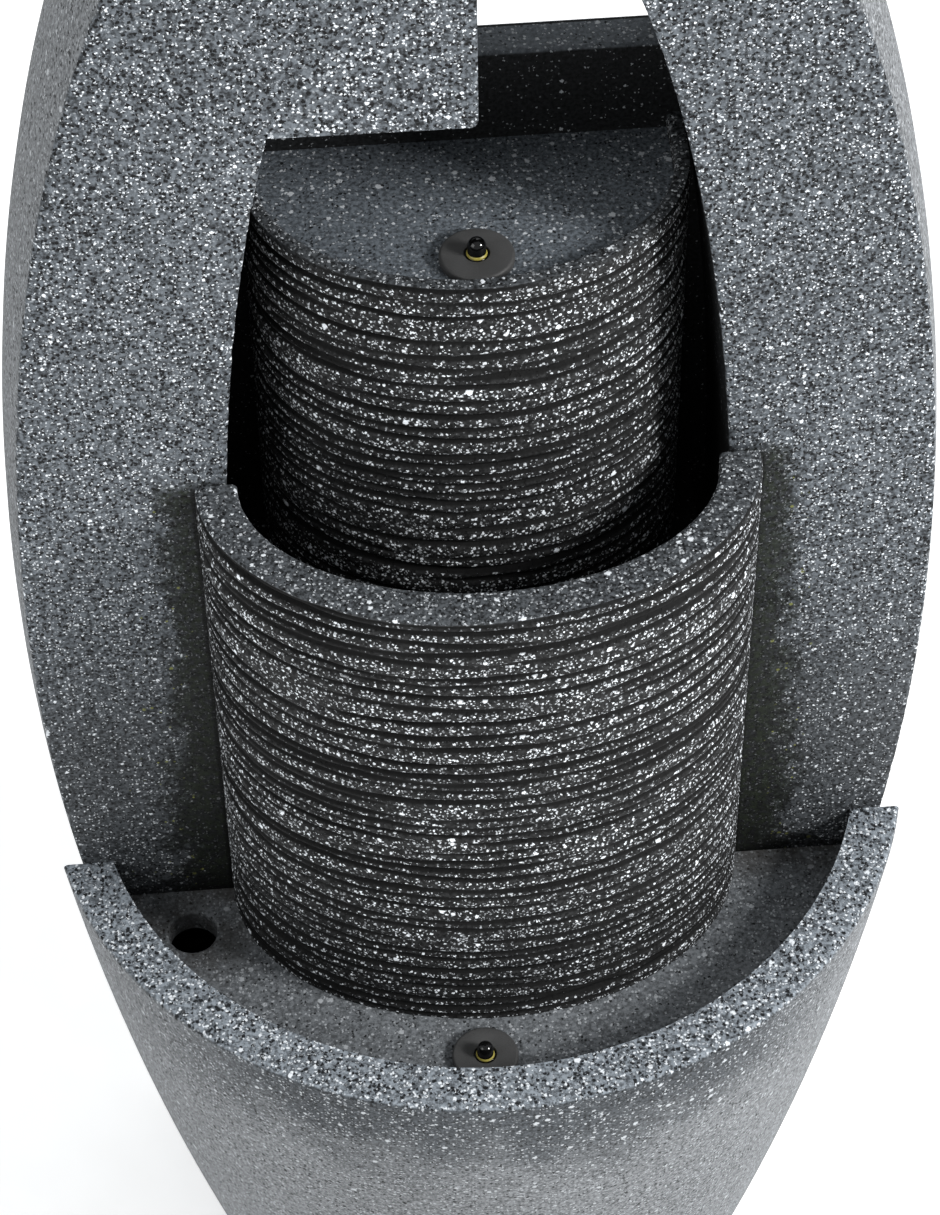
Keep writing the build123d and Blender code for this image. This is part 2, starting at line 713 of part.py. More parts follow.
with BuildPart() as spout_nozzle:
    with BuildSketch(Plane.XZ):
        with BuildLine():
            Polyline(
                (OUTLET_R + FIT, BLOCK_Z - 4.0),
                (NOZZLE_R, BLOCK_Z - 4.0),
                (NOZZLE_R, BLOCK_Z + SKIN),
                (NOZZLE_R + 2.5, BLOCK_Z + SKIN),
                (NOZZLE_R + 2.5, BLOCK_Z + SKIN + 2.0),
                (NOZZLE_R, BLOCK_Z + SKIN + 2.0),
                (NOZZLE_R, ELBOW_Z - ELBOW_R - 1.0),
                (OUTLET_R + FIT, ELBOW_Z - ELBOW_R - 1.0),
                close=True,
            )
        make_face()
    revolve(axis=Axis.Z)
spout_nozzle.part = spout_nozzle.part.moved(Location((NOZZLE_X, NOZZLE_Y, 0)))
save(spout_nozzle, "spout_nozzle")


# ---------------------------------------------------------------- wiring
BOX_X = 76.0
BOX_Y = 13.0
BOX_W = 34.0
BOX_D = 2 * (SLAB - WALL - BOX_Y)
BOX_Z = 132.0
BOX_H = 26.0

with BuildPart() as wire_box:
    with Locations((BOX_X, SLAB - WALL - BOX_D / 2, BOX_Z + BOX_H / 2)):
        Box(BOX_W, BOX_D, BOX_H)
    fillet(wire_box.edges().filter_by(Axis.Z), 3.0)
    with BuildSketch(Plane.XY.offset(BOX_Z)):
        with Locations((BOX_X, BOX_Y)):
            with GridLocations(10.0, 0, 3, 1):
                Circle(LEAD_R + FIT)
    extrude(amount=6.0, mode=Mode.SUBTRACT)
save(wire_box, "wire_box")

LEAD_END = BOX_Z + 5.0


def lead(name, route):
    piece = hose(route, LEAD_R - FIT, 0, 40.0)
    save(piece, name)


lead("lead_lower_light", [
    (*LED_LOW, FLOOR_Z - CAN_L - 2.0),
    (*LED_LOW, FLOOR_Z - 34.0),
    (20.0, -76.0, 126.0),
    (60.0, -20.0, 108.0),
    (BOX_X, BOX_Y, 112.0),
    (BOX_X, BOX_Y, LEAD_END),
])
lead("lead_upper_light", [
    (*LED_UP, UP_FLOOR_Z - CAN_L - 2.0),
    (*LED_UP, UP_FLOOR_Z - 40.0),
    (*LEAD_UP, 360.0),
    (*LEAD_UP, 150.0),
    (44.0, 6.0, 118.0),
    (BOX_X - 10.0, BOX_Y, 118.0),
    (BOX_X - 10.0, BOX_Y, LEAD_END),
])
lead("pump_lead", [
    (PUMP_X, CHAMBER_BACK - MOTOR_L, AXLE_Z + 8.0),
    (PUMP_X, CHAMBER_BACK - MOTOR_L - 16.0, AXLE_Z + 8.0),
    (0.0, -58.0, 70.0),
    (56.0, -30.0, 92.0),
    (BOX_X + 10.0, BOX_Y, 104.0),
    (BOX_X + 10.0, BOX_Y, LEAD_END),
])

GLAND_PLANE = Plane((GLAND_X, SLAB, GLAND_Z), x_dir=(1, 0, 0), z_dir=(0, 1, 0))
with BuildPart() as cable_gland:
    with BuildSketch(GLAND_PLANE):
        RegularPolygon(7.0, 6)
    extrude(amount=3.0)
    with BuildSketch(GLAND_PLANE.offset(3.0)):
        Circle(5.5)
    extrude(amount=4.0, taper=20)
    with BuildSketch(GLAND_PLANE):
        Circle(GLAND_R)
    extrude(amount=-WALL - 4.0)
    with BuildSketch(GLAND_PLANE.offset(7.0)):
        Circle(2.4)
    extrude(amount=-BIG, mode=Mode.SUBTRACT)
save(cable_gland, "cable_gland")

with BuildPart() as gland_nut:
    with BuildSketch(GLAND_PLANE.offset(-WALL)):
        RegularPolygon(7.0, 6)
        Circle(GLAND_R + FIT, mode=Mode.SUBTRACT)
    extrude(amount=-3.0)
save(gland_nut, "gland_nut")


# ---------------------------------------------------------------- access door
HINGE = (HINGE_X, HINGE_Y)
DOOR_FACE_Y = SLAB - DOOR_PROUD
BARRELS_Z = (DOOR_Z - KNUCKLE - RUN, DOOR_Z + KNUCKLE + RUN)

with BuildPart() as access_door:
    with BuildSketch(Plane.XZ.offset(-DOOR_FACE_Y)):
        with Locations((0, DOOR_Z)):
            Rectangle(DOOR_W, DOOR_H)
    extrude(amount=DOOR_T)
    with Locations((DOOR_LEFT + 3.0, (DOOR_FACE_Y + HINGE_Y + 1.5) / 2, DOOR_Z)):
        Box(6.0, HINGE_Y + 1.5 - DOOR_FACE_Y, KNUCKLE)
    with Locations(((HINGE_X + DOOR_LEFT) / 2, HINGE_Y + 0.5, DOOR_Z)):
        Box(DOOR_LEFT - HINGE_X, 2.0, KNUCKLE)
    with BuildSketch(Plane.XY.offset(DOOR_Z - KNUCKLE / 2)):
        with Locations(HINGE):
            Circle(BARREL_R)
    extrude(amount=KNUCKLE)
    with BuildSketch(Plane.XY.offset(DOOR_Z - KNUCKLE / 2)):
        with Locations(HINGE):
            Circle(PIN_R + FIT)
    extrude(amount=KNUCKLE, mode=Mode.SUBTRACT)
    with BuildSketch(Plane.XZ.offset(-DOOR_BACK_Y)):
        with Locations(*[(CATCH_X, z) for z in CATCH_Z]):
            Circle(MAGNET_R)
    extrude(amount=-1.2, mode=Mode.SUBTRACT)
save(access_door, "access_door")

# Two fixed knuckles on a leaf bedded against the base's back
with BuildPart() as hinge_leaf:
    for z in BARRELS_Z:
        with Locations((HINGE_X - BARREL_R - 3.0, SLAB + 1.0, z)):
            Box(12.0, 2.0, KNUCKLE)
        with BuildSketch(Plane.XY.offset(z - KNUCKLE / 2)):
            with Locations(HINGE):
                Circle(BARREL_R)
        extrude(amount=KNUCKLE)
    with BuildSketch(Plane.XY.offset(DOOR_Z - BIG / 2)):
        with Locations(HINGE):
            Circle(PIN_R + FIT)
    extrude(amount=BIG, mode=Mode.SUBTRACT)
save(hinge_leaf, "hinge_leaf")

PIN_L = 3 * KNUCKLE + 4 * RUN + 2.0
with BuildPart() as hinge_pin:
    with BuildSketch(Plane.XY.offset(DOOR_Z - PIN_L / 2)):
        with Locations(HINGE):
            Circle(PIN_R)
    extrude(amount=PIN_L)
save(hinge_pin, "hinge_pin")

PULL = Plane((CATCH_X - 8.0, DOOR_FACE_Y, DOOR_Z), x_dir=(1, 0, 0), z_dir=(0, 1, 0))
with BuildPart() as door_pull:
    with BuildSketch(PULL):
        Circle(6.0)
    extrude(amount=5.0)
    fillet(door_pull.faces().sort_by(Axis.Y)[-1].edges(), 1.5)
save(door_pull, "door_pull")

with BuildPart() as catch_magnets:
    with BuildSketch(Plane.XZ.offset(-DOOR_BACK_Y + RUN)):
        with Locations(*[(CATCH_X, z) for z in CATCH_Z]):
            Circle(MAGNET_R - FIT)
    extrude(amount=MAGNET_T)
save(catch_magnets, "catch_magnets")

with BuildPart() as catch_plates:
    with BuildSketch(Plane.XZ.offset(-DOOR_BACK_Y)):
        with Locations(*[(CATCH_X, z) for z in CATCH_Z]):
            Circle(MAGNET_R - FIT)
    extrude(amount=-1.1)
save(catch_plates, "catch_plates")


# ---------------------------------------------------------------- feet
with BuildPart() as rubber_feet:
    with BuildSketch(Plane.XY.offset(BASE_Z)):
        with Locations((0, 0), (-66, 14), (66, 14), (-52, -66), (52, -66)):
            Circle(FOOT_R)
    extrude(amount=-FOOT_H)
    fillet(rubber_feet.edges().group_by(Axis.Z)[0], 1.0)
save(rubber_feet, "rubber_feet")
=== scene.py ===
# %% [markdown]
# # A tabletop water fountain, finished round its measured frame
#
# The fountain is cast from stone powder and resin: a round pot, a tall oval tower with an open
# window, and two half-round tiers that the water falls over. The measured frame already holds
# every piece at its true size and place. This lesson adds what a caster would see and feel: the
# scored tiers, the chipped crease, the speckle in the stone, the lights, and soft studio light.
#
# Lengths are in metres and +Z is up. The origin is on the floor, under the middle of the pot.

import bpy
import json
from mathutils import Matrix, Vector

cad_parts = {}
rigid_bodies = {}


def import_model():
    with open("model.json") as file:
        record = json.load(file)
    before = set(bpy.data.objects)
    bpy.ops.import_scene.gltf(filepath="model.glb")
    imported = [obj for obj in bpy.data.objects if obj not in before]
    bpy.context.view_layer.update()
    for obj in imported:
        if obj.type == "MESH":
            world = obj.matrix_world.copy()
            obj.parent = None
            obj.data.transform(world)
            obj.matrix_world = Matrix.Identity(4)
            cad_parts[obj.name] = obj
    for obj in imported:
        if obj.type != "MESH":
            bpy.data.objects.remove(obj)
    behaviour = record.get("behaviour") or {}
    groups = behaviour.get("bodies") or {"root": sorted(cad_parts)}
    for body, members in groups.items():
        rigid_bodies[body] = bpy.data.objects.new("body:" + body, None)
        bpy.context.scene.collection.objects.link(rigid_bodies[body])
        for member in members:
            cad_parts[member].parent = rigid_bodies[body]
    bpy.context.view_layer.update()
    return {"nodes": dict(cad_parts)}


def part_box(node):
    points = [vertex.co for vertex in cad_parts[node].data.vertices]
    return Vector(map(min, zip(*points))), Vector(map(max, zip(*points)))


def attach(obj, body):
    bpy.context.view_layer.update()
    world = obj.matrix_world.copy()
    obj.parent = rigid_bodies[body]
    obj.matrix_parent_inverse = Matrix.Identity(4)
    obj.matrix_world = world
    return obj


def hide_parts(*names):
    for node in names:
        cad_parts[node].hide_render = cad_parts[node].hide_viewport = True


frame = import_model()

# %% Modules and the unit of length
import json
import random
from math import atan2, cos, exp, hypot, pi, radians, sin, sqrt

import bmesh
import bpy
from mathutils import Matrix, Vector, noise

MM = 0.001
UP = Vector((0, 0, 1))
CLEAN = 0.01 * MM           # points nearer than this are one point

# %% [markdown]
# ## Where the camera stands
#
# The view is the one a person has who stands over a small fountain: from a little left of the
# middle, looking down at about 48 degrees. A camera can be aimed with a Track To constraint or
# with angles, but a matrix made of three axes says in one place what is right, up and back.

# %% Camera
EYE = Vector((-0.0502, -0.7064, 1.0668))
YAW = radians(4.0)          # turned towards +X
PITCH = radians(48.33)      # tipped down from level
ROLL = radians(-0.92)
LENS = 104.5

forward = Vector((sin(YAW) * cos(PITCH), cos(YAW) * cos(PITCH), -sin(PITCH)))
level = Vector((cos(YAW), -sin(YAW), 0))
above = level.cross(forward)
right = level * cos(ROLL) + above * sin(ROLL)
above = above * cos(ROLL) - level * sin(ROLL)

camera = bpy.data.objects.new("camera", bpy.data.cameras.new("camera"))
bpy.context.scene.collection.objects.link(camera)
turn = Matrix((right, above, -forward)).transposed()
camera.matrix_world = Matrix.Translation(EYE) @ turn.to_4x4()
camera.data.lens = LENS
camera.data.clip_start = 0.02
camera.data.clip_end = 20
bpy.context.scene.camera = camera
print("camera looks down at", round(PITCH * 180 / pi, 1), "degrees")

# %% [markdown]
# ## Floor and light
#
# A pale floor and large soft lamps show the stone's own colour. Small lamps would give hard
# shadows that hide the relief. One broad lamp from the right is the strongest, so each groove
# and rim has a light side and a dark side. The sky fills in what the lamps leave.

# %% A new object from a bmesh
scene_objects = bpy.context.scene.collection.objects


def to_object(bm, name, sharp=35):
    """Turns a bmesh into an object at the origin, smooth except at its sharp edges."""
    mesh = bpy.data.meshes.new(name)
    bm.to_mesh(mesh)
    bm.free()
    mesh.shade_smooth()
    mesh.set_sharp_from_angle(angle=radians(sharp))
    piece = bpy.data.objects.new(name, mesh)
    scene_objects.link(piece)
    return piece


# %% Floor
bm = bmesh.new()
bmesh.ops.create_grid(bm, x_segments=1, y_segments=1, size=6)
floor = to_object(bm, "studio_floor")

# %% Lamps and sky
AIM = Vector((0, -0.03, 0.3))


def lamp(name, place, size, watts):
    """A square soft lamp that points at the middle of the fountain."""
    light = bpy.data.lights.new(name, "AREA")
    light.size = size
    light.energy = watts
    holder = bpy.data.objects.new(name, light)
    holder.location = place
    holder.rotation_euler = (AIM - Vector(place)).to_track_quat("-Z", "Y").to_euler()
    scene_objects.link(holder)


lamp("key_right", (1.4, -0.8, 1.25), 0.5, 37)
lamp("fill_left", (-1.5, -0.9, 1.3), 1.2, 10)
lamp("top_back", (0.2, 0.9, 1.9), 1.0, 3)

sky = bpy.data.worlds.new("studio_sky")
sky.use_nodes = True
sky.node_tree.nodes["Background"].inputs["Color"].default_value = (0.95, 0.98, 1.0, 1)
sky.node_tree.nodes["Background"].inputs["Strength"].default_value = 0.45
bpy.context.scene.world = sky
bpy.context.scene.view_settings.view_transform = "Standard"
print("lamps", [o.name for o in scene_objects if o.type == "LIGHT"])

# %% [markdown]
# ## Small helpers for nodes
#
# A material is a net of nodes. These helpers each add one node and hand back its output, so a
# finish reads like a sentence. A value may be a number or another node's output.

# %% Node helpers
def put(tree, socket, value):
    """Sets a socket to a number, a colour or another node's output."""
    if isinstance(value, bpy.types.NodeSocket):
        tree.links.new(value, socket)
    elif value is not None:
        socket.default_value = value


def calc(tree, work, a, b=None, c=None, clamp=False):
    """Arithmetic on one, two or three values."""
    node = tree.nodes.new("ShaderNodeMath")
    node.operation = work
    node.use_clamp = clamp
    for socket, value in zip(node.inputs, (a, b, c)):
        put(tree, socket, value)
    return node.outputs[0]


def fade(tree, value, start, end, to_start=0.0, to_end=1.0):
    """Goes smoothly from one value to another as the input crosses a range."""
    node = tree.nodes.new("ShaderNodeMapRange")
    node.interpolation_type = "SMOOTHSTEP"
    for label, number in zip(
        ("Value", "From Min", "From Max", "To Min", "To Max"),
        (value, start, end, to_start, to_end),
    ):
        put(tree, node.inputs[label], number)
    return node.outputs[0]


def blend_colour(tree, share, first, second, way="MIX"):
    """Mixes two colours by a share from 0 to 1."""
    node = tree.nodes.new("ShaderNodeMix")
    node.data_type = "RGBA"
    node.blend_type = way
    put(tree, node.inputs[0], share)
    put(tree, node.inputs[6], first)
    put(tree, node.inputs[7], second)
    return node.outputs[2]


def cloud(tree, where, scale, detail=2.0, rough=0.5, colour=False):
    """Soft random blotches; scale is how many there are in a metre."""
    node = tree.nodes.new("ShaderNodeTexNoise")
    put(tree, node.inputs["Vector"], where)
    put(tree, node.inputs["Scale"], scale)
    node.inputs["Detail"].default_value = detail
    node.inputs["Roughness"].default_value = rough
    return node.outputs["Color" if colour else "Fac"]


def move_vector(tree, work, a, b):
    """Vector arithmetic."""
    node = tree.nodes.new("ShaderNodeVectorMath")
    node.operation = work
    put(tree, node.inputs[0], a)
    put(tree, node.inputs["Scale"] if work == "SCALE" else node.inputs[1], b)
    return node.outputs[0]


def split(tree, vector):
    """The three parts of a vector or a colour."""
    node = tree.nodes.new("ShaderNodeSeparateXYZ")
    put(tree, node.inputs[0], vector)
    return node.outputs


def grey(value, blue=1.0):
    """A linear colour from a shade seen on screen, 0 to 255, leaning to blue above 1."""
    linear = [(value * tint / 255) ** 2.2 for tint in (2 - blue, 1.0, blue)]
    return (*linear, 1.0)


# %% [markdown]
# ## Shared effects
#
# The stone is a grey paste with crushed white marble and a few bubbles in it. Both are round
# things scattered at random, so one group of nodes makes them: a Voronoi pattern gives a centre
# in each cell, and a random number for the cell decides whether there is a chip and how large
# it is. A second group makes the paste: a slow drift of tone and a fine grain. Each group is
# built once, and each finish places it with its own spacing and size.

# %% Node groups
def new_group(name, inputs, outputs):
    """An empty node group with named sockets, and its two end nodes."""
    group = bpy.data.node_groups.new(name, "ShaderNodeTree")
    for label, value in inputs.items():
        kind = "NodeSocketVector" if value is None else "NodeSocketFloat"
        socket = group.interface.new_socket(name=label, in_out="INPUT", socket_type=kind)
        if value is not None:
            socket.default_value = value
    for label, kind in outputs.items():
        group.interface.new_socket(name=label, in_out="OUTPUT", socket_type=kind)
    way_in = group.nodes.new("NodeGroupInput")
    way_out = group.nodes.new("NodeGroupOutput")
    return group, way_in.outputs, way_out.inputs


def place(tree, group, **values):
    """Puts a group in a material, with its own values, and hands back its outputs."""
    node = tree.nodes.new("ShaderNodeGroup")
    node.node_tree = group
    for label, value in values.items():
        put(tree, node.inputs[label.replace("_", " ")], value)
    return node.outputs


# %% Scattered chips
chips, given, result = new_group(
    "scattered chips",
    {"Where": None, "Per Metre": 500.0, "Share": 0.5, "Size": 0.4},
    {"Mask": "NodeSocketFloat", "Tone": "NodeSocketFloat"},
)
cells = chips.nodes.new("ShaderNodeTexVoronoi")
put(chips, cells.inputs["Vector"], given["Where"])
put(chips, cells.inputs["Scale"], given["Per Metre"])
chance, growth, tone = split(chips, cells.outputs["Color"])
chosen = calc(chips, "LESS_THAN", chance, given["Share"])
radius = calc(chips, "MULTIPLY", given["Size"], calc(chips, "MULTIPLY_ADD", growth, 0.8, 0.5))
core = calc(chips, "MULTIPLY", radius, 0.65)
edge = fade(chips, cells.outputs["Distance"], core, radius, 1.0, 0.0)
put(chips, result["Mask"], calc(chips, "MULTIPLY", edge, chosen))
put(chips, result["Tone"], tone)

# %% Stone paste
paste, given, result = new_group(
    "stone paste",
    {"Where": None, "Grain Per Metre": 900.0},
    {"Grain": "NodeSocketFloat", "Drift": "NodeSocketFloat", "Ragged Where": "NodeSocketVector"},
)
put(paste, result["Grain"], cloud(paste, given["Where"], given["Grain Per Metre"], rough=0.6))
put(paste, result["Drift"], cloud(paste, given["Where"], 17, detail=3))
shake = cloud(paste, given["Where"], 1500, detail=1, colour=True)
shake = move_vector(paste, "SUBTRACT", shake, (0.5, 0.5, 0.5))
ragged = move_vector(paste, "ADD", given["Where"], move_vector(paste, "SCALE", shake, 1.1 * MM))
put(paste, result["Ragged Where"], ragged)
print("groups", [g.name for g in bpy.data.node_groups])

# %% [markdown]
# ## The stone's finish
#
# Four things make cast stone look real: a base grey that drifts a little from place to place,
# a fine grain, white marble chips, and black pits where air bubbles broke the surface. The
# front faces were rubbed back, so they show many sharp chips. The sides were left as they came
# from the mould, so they are smoother and paler. The amounts for one surface are a small list
# of named values. Where two surfaces meet in one piece, the amounts are mixed and the pattern
# is worked out once, so a chip never stops at a line.

# %% Looks of the stone
CHIP_GAP = 0.98 * MM
BIG_GAP = 3.4 * MM
PIT_GAP = 1.25 * MM

STANDARD = dict(chip_share=0.55, chip_size=0.46, chip_force=1.0, big_share=0.3, big_size=0.26,
                pit_share=0.3, pit_size=0.36)


def look(dark, light, white, blue=1.04, **changed):
    """Amounts for one stone surface; the shades are screen greys."""
    shades = dict(dark=grey(dark, blue), light=grey(light, blue), white=grey(white, 1.02))
    return {**STANDARD, **shades, **changed}


RUBBED = look(46, 112, 244, blue=1.05, chip_share=0.58, pit_share=0.62, pit_size=0.5,
              big_share=0.22)
# Painted shade: a darker rubbed look, put low on the front face for the shade that falls there.
RUBBED_LOW_SHADE = look(40, 84, 222, blue=1.04, chip_share=0.4, big_share=0.3, pit_share=0.5)
SMOOTH = look(88, 137, 202, blue=1.02, chip_share=0.45, chip_force=0.7, big_share=0.15,
              pit_share=0.35, pit_size=0.42)
FRONT_WALL = look(46, 86, 210, blue=1.05, chip_share=0.48, chip_force=0.85, pit_share=0.45)
TOP_RIM = look(80, 156, 244, blue=1.05, chip_share=0.55, chip_size=0.5, pit_share=0.6, pit_size=0.55)
DECK = look(80, 124, 195, blue=1.03, chip_force=0.7, chip_share=0.4, big_share=0.15, pit_share=0.35)
SCORED = look(15, 50, 252, blue=1.01, chip_share=0.88, chip_size=0.44, big_share=0.16,
              pit_share=0.35)
INNER = look(20, 42, 185, blue=1.03, chip_share=0.18, chip_size=0.36, big_share=0.12,
             big_size=0.16, pit_share=0.0)
BOWL = look(66, 116, 215, blue=1.06, chip_share=0.36, chip_force=0.8, big_share=0.25,
            pit_share=0.35)


def between(tree, part, first, second):
    """The amounts of one look, going to another where part is 1."""
    mixed = dict(first)
    for label in first:
        if first[label] is second[label] or first[label] == second[label]:
            continue
        if label in ("dark", "light", "white"):
            mixed[label] = blend_colour(tree, part, first[label], second[label])
        else:
            node = tree.nodes.new("ShaderNodeMix")
            put(tree, node.inputs[0], part)
            put(tree, node.inputs[2], first[label])
            put(tree, node.inputs[3], second[label])
            mixed[label] = node.outputs[0]
    return mixed


# %% Stone
def where_on(tree):
    """Object coordinates in metres, the same in every view."""
    return tree.nodes.new("ShaderNodeTexCoord").outputs["Object"]


def new_material(name):
    """An empty node material, its tree and its Principled shader."""
    material = bpy.data.materials.new(name)
    material.use_nodes = True
    return material, material.node_tree, material.node_tree.nodes["Principled BSDF"]


def stone_surface(tree, where, amounts):
    """Colour and height of one stone surface."""
    base = place(tree, paste, Where=where)
    ragged = base["Ragged Where"]
    grain = fade(tree, base["Grain"], 0.3, 0.7, -0.2, 0.85)
    tone = calc(tree, "MULTIPLY_ADD", base["Drift"], 0.4, grain)
    colour = blend_colour(tree, tone, amounts["dark"], amounts["light"])
    fine = place(tree, chips, Where=ragged, Per_Metre=1 / CHIP_GAP, Share=amounts["chip_share"],
                 Size=amounts["chip_size"])
    big = place(tree, chips, Where=ragged, Per_Metre=1 / BIG_GAP, Share=amounts["big_share"],
                Size=amounts["big_size"])
    pits = place(tree, chips, Where=ragged, Per_Metre=1 / PIT_GAP, Share=amounts["pit_share"],
                 Size=amounts["pit_size"])
    pale = calc(tree, "MULTIPLY", fine["Mask"], fade(tree, fine["Tone"], 0.0, 0.9, 0.2, 1.0))
    pale = calc(tree, "MAXIMUM", calc(tree, "MULTIPLY", pale, amounts["chip_force"]),
                calc(tree, "MULTIPLY", big["Mask"], amounts["chip_force"]))
    black = blend_colour(tree, 0.8, amounts["dark"], grey(6))
    colour = blend_colour(tree, pits["Mask"], colour, black)
    colour = blend_colour(tree, pale, colour, amounts["white"])
    height = calc(tree, "MULTIPLY_ADD", base["Grain"], 0.5, calc(tree, "MULTIPLY", pale, 0.4))
    height = calc(tree, "SUBTRACT", height, calc(tree, "MULTIPLY", pits["Mask"], 1.2))
    return colour, height


def shade_stone(tree, shader, colour, height, depth=0.3):
    """Joins colour, roughness and bump to the shader."""
    put(tree, shader.inputs["Base Color"], colour)
    bump = tree.nodes.new("ShaderNodeBump")
    bump.inputs["Strength"].default_value = 0.7
    bump.inputs["Distance"].default_value = depth * MM
    put(tree, bump.inputs["Height"], height)
    put(tree, shader.inputs["Normal"], bump.outputs[0])
    put(tree, shader.inputs["Roughness"], fade(tree, height, 0.2, 0.9, 0.78, 0.52))
    shader.inputs["Specular IOR Level"].default_value = 0.25


def multiply(tree, *parts):
    """All the masks at once."""
    total = parts[0]
    for part in parts[1:]:
        total = calc(tree, "MULTIPLY", total, part)
    return total


def paint(node, material):
    """Gives a piece or a measured node one material."""
    piece = frame["nodes"][node] if isinstance(node, str) else node
    piece.data.materials.clear()
    piece.data.materials.append(material)


# %% [markdown]
# ## The scored tiers
#
# Each tier is a half-round wall. Its maker dragged a comb round the wet mould, so the outside
# is scored with thin grooves that wander, fade out and start again. A bump texture would leave
# the outline smooth, so the grooves are cut into the mesh. The wall's cross-section is drawn
# once, its outside edge divided finely, and it is spun half a turn. Then each outside point
# moves in by the depth of the grooves at its height.

# %% The section of a wall, spun and stretched
def section(bm, left, back, wall, low, high, rows, rim_round):
    """The closed outline of a wall's cut end, standing in the plane y = back."""
    corners = [(left, low), (left + wall, low), (left + wall, high), (left, high)]
    points = [bmesh.ops.create_vert(bm, co=(x, back, z))["vert"][0] for x, z in corners]
    bmesh.ops.contextual_create(bm, geom=points)
    bmesh.ops.bevel(bm, geom=points[2:], affect="VERTICES", offset=rim_round, segments=3,
                    profile=0.5, material=-1)
    bmesh.ops.delete(bm, geom=bm.faces[:], context="FACES_ONLY")
    outside = max((e for e in bm.edges if e.verts[0].co.x == e.verts[1].co.x == left),
                  key=lambda e: e.calc_length())
    rest = [e for e in bm.edges if e != outside and e.calc_length() > wall / 2]
    bmesh.ops.subdivide_edges(bm, edges=rest, cuts=7)
    bmesh.ops.subdivide_edges(bm, edges=[outside], cuts=rows)


def half_round_wall(node, wall, flat_back, rows, columns, rim_round):
    """A tier's wall: a half turn, squeezed to an ellipse, with straight sides if it has them."""
    low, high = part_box(node)
    centre_y = high.y - flat_back
    reach_x = high.x
    reach_y = centre_y - low.y
    bm = bmesh.new()
    section(bm, -reach_x, centre_y, wall, low.z, high.z, rows, rim_round)
    start = bm.edges[:]
    spun = bmesh.ops.spin(bm, geom=bm.verts[:] + start, cent=(0, centre_y, 0), axis=UP,
                          angle=pi, steps=columns)
    finish = [e for e in spun["geom_last"] if isinstance(e, bmesh.types.BMEdge)]
    for vert in bm.verts:
        inset = reach_x - hypot(vert.co.x, vert.co.y - centre_y)
        vert.co.y = centre_y + (vert.co.y - centre_y) * (reach_y - inset) / (reach_x - inset)
    steps = round(flat_back / (1.6 * MM))
    for end in (start, finish):
        for _ in range(steps):
            made = bmesh.ops.extrude_edge_only(bm, edges=end)["geom"]
            end = [e for e in made if isinstance(e, bmesh.types.BMEdge)]
            moved = [v for v in made if isinstance(v, bmesh.types.BMVert)]
            bmesh.ops.translate(bm, verts=moved, vec=(0, flat_back / steps, 0))
        bmesh.ops.contextual_create(bm, geom=end)
    bmesh.ops.recalc_face_normals(bm, faces=bm.faces[:])
    return bm, centre_y, reach_x, reach_y


# %% Grooves that wander
class Grooves:
    """Nearly level grooves round a wall; each has its own wander, strength and gaps."""

    def __init__(self, low, high, pitch, depth, seed):
        chance = random.Random(seed)
        self.depth = depth
        self.lines = []
        level = low - pitch
        while level < high + pitch:
            lean = chance.uniform(-0.012, 0.012)
            width = chance.uniform(0.75, 1.15) * MM
            self.lines.append((level, lean, width, chance.uniform(0.55, 1.0), chance.random() * 90))
            level += pitch * chance.uniform(0.65, 1.35)

    def at(self, along):
        """Every groove's height, width and strength at one place along the wall."""
        found = []
        for level, lean, width, force, key in self.lines:
            wander = 1.5 * noise.noise((along * 16, key, 0)) + 0.5 * noise.noise((along * 75, key, 3))
            strength = force * min(1.0, max(0.1, 0.8 + 1.2 * noise.noise((along * 24, key, 7))))
            found.append((level + lean * along + wander * MM, width, strength))
        return found

    def cut(self, found, height):
        """How deep the grooves go at one height, as a share of the full depth."""
        total = 0.0
        for level, width, strength in found:
            away = abs(height - level)
            if away < 5 * width:
                total += strength * (0.75 * exp(-(away / width) ** 2) + 0.25 * exp(-away / width))
        return min(total, 1.15)


def score(bm, centre_y, reach_x, reach_y, low, high, grooves, rough):
    """Cuts the grooves and a fine roughness into the outside of a wall."""
    mark = bm.verts.layers.float.new("groove")
    seen = {}
    for vert in bm.verts:
        x, y, z = vert.co
        if y < centre_y:
            across = hypot(x / reach_x, (y - centre_y) / reach_y)
            outward = Vector((x / reach_x**2, (y - centre_y) / reach_y**2, 0)).normalized()
            along = atan2(x, centre_y - y) * (reach_x + reach_y) / 2
        else:
            across = abs(x) / reach_x
            outward = Vector((1 if x > 0 else -1, 0, 0))
            along = (pi / 4 * (reach_x + reach_y) + y - centre_y) * outward.x
        if across < 0.995 or z > high - 0.3 * MM:
            continue
        key = round(along, 6)
        if key not in seen:
            seen[key] = grooves.at(along)
        cut = grooves.cut(seen[key], z)
        layers = noise.noise((along * 30, z * 420, 5))
        grit = noise.noise((along * 700, z * 700, 9))
        inwards = grooves.depth * cut + rough * (0.5 + 0.5 * layers) + 0.35 * rough * grit
        vert.co -= outward * inwards
        vert[mark] = cut


def wear_rim(bm, high, amount):
    """Small uneven wear on the top and its edges."""
    for vert in bm.verts:
        if vert.co.z > high - 2.5 * MM:
            wear = noise.noise(vert.co * 420) + 0.6 * noise.noise(vert.co * 130)
            vert.co.z -= amount * (0.6 + 0.5 * wear)


def make_tier(name, node, wall, flat_back, rows, columns, rim_round, grooves, rough):
    """A whole scored tier, standing for its measured node."""
    low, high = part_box(node)
    bm, centre_y, reach_x, reach_y = half_round_wall(node, wall, flat_back, rows, columns, rim_round)
    score(bm, centre_y, reach_x, reach_y, low.z, high.z, grooves, rough)
    wear_rim(bm, high.z, 0.35 * MM)
    tier = to_object(bm, name, sharp=50)
    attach(tier, "fountain")
    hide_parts(node)
    print(name, len(tier.data.vertices), "points,", len(grooves.lines), "grooves")
    return tier


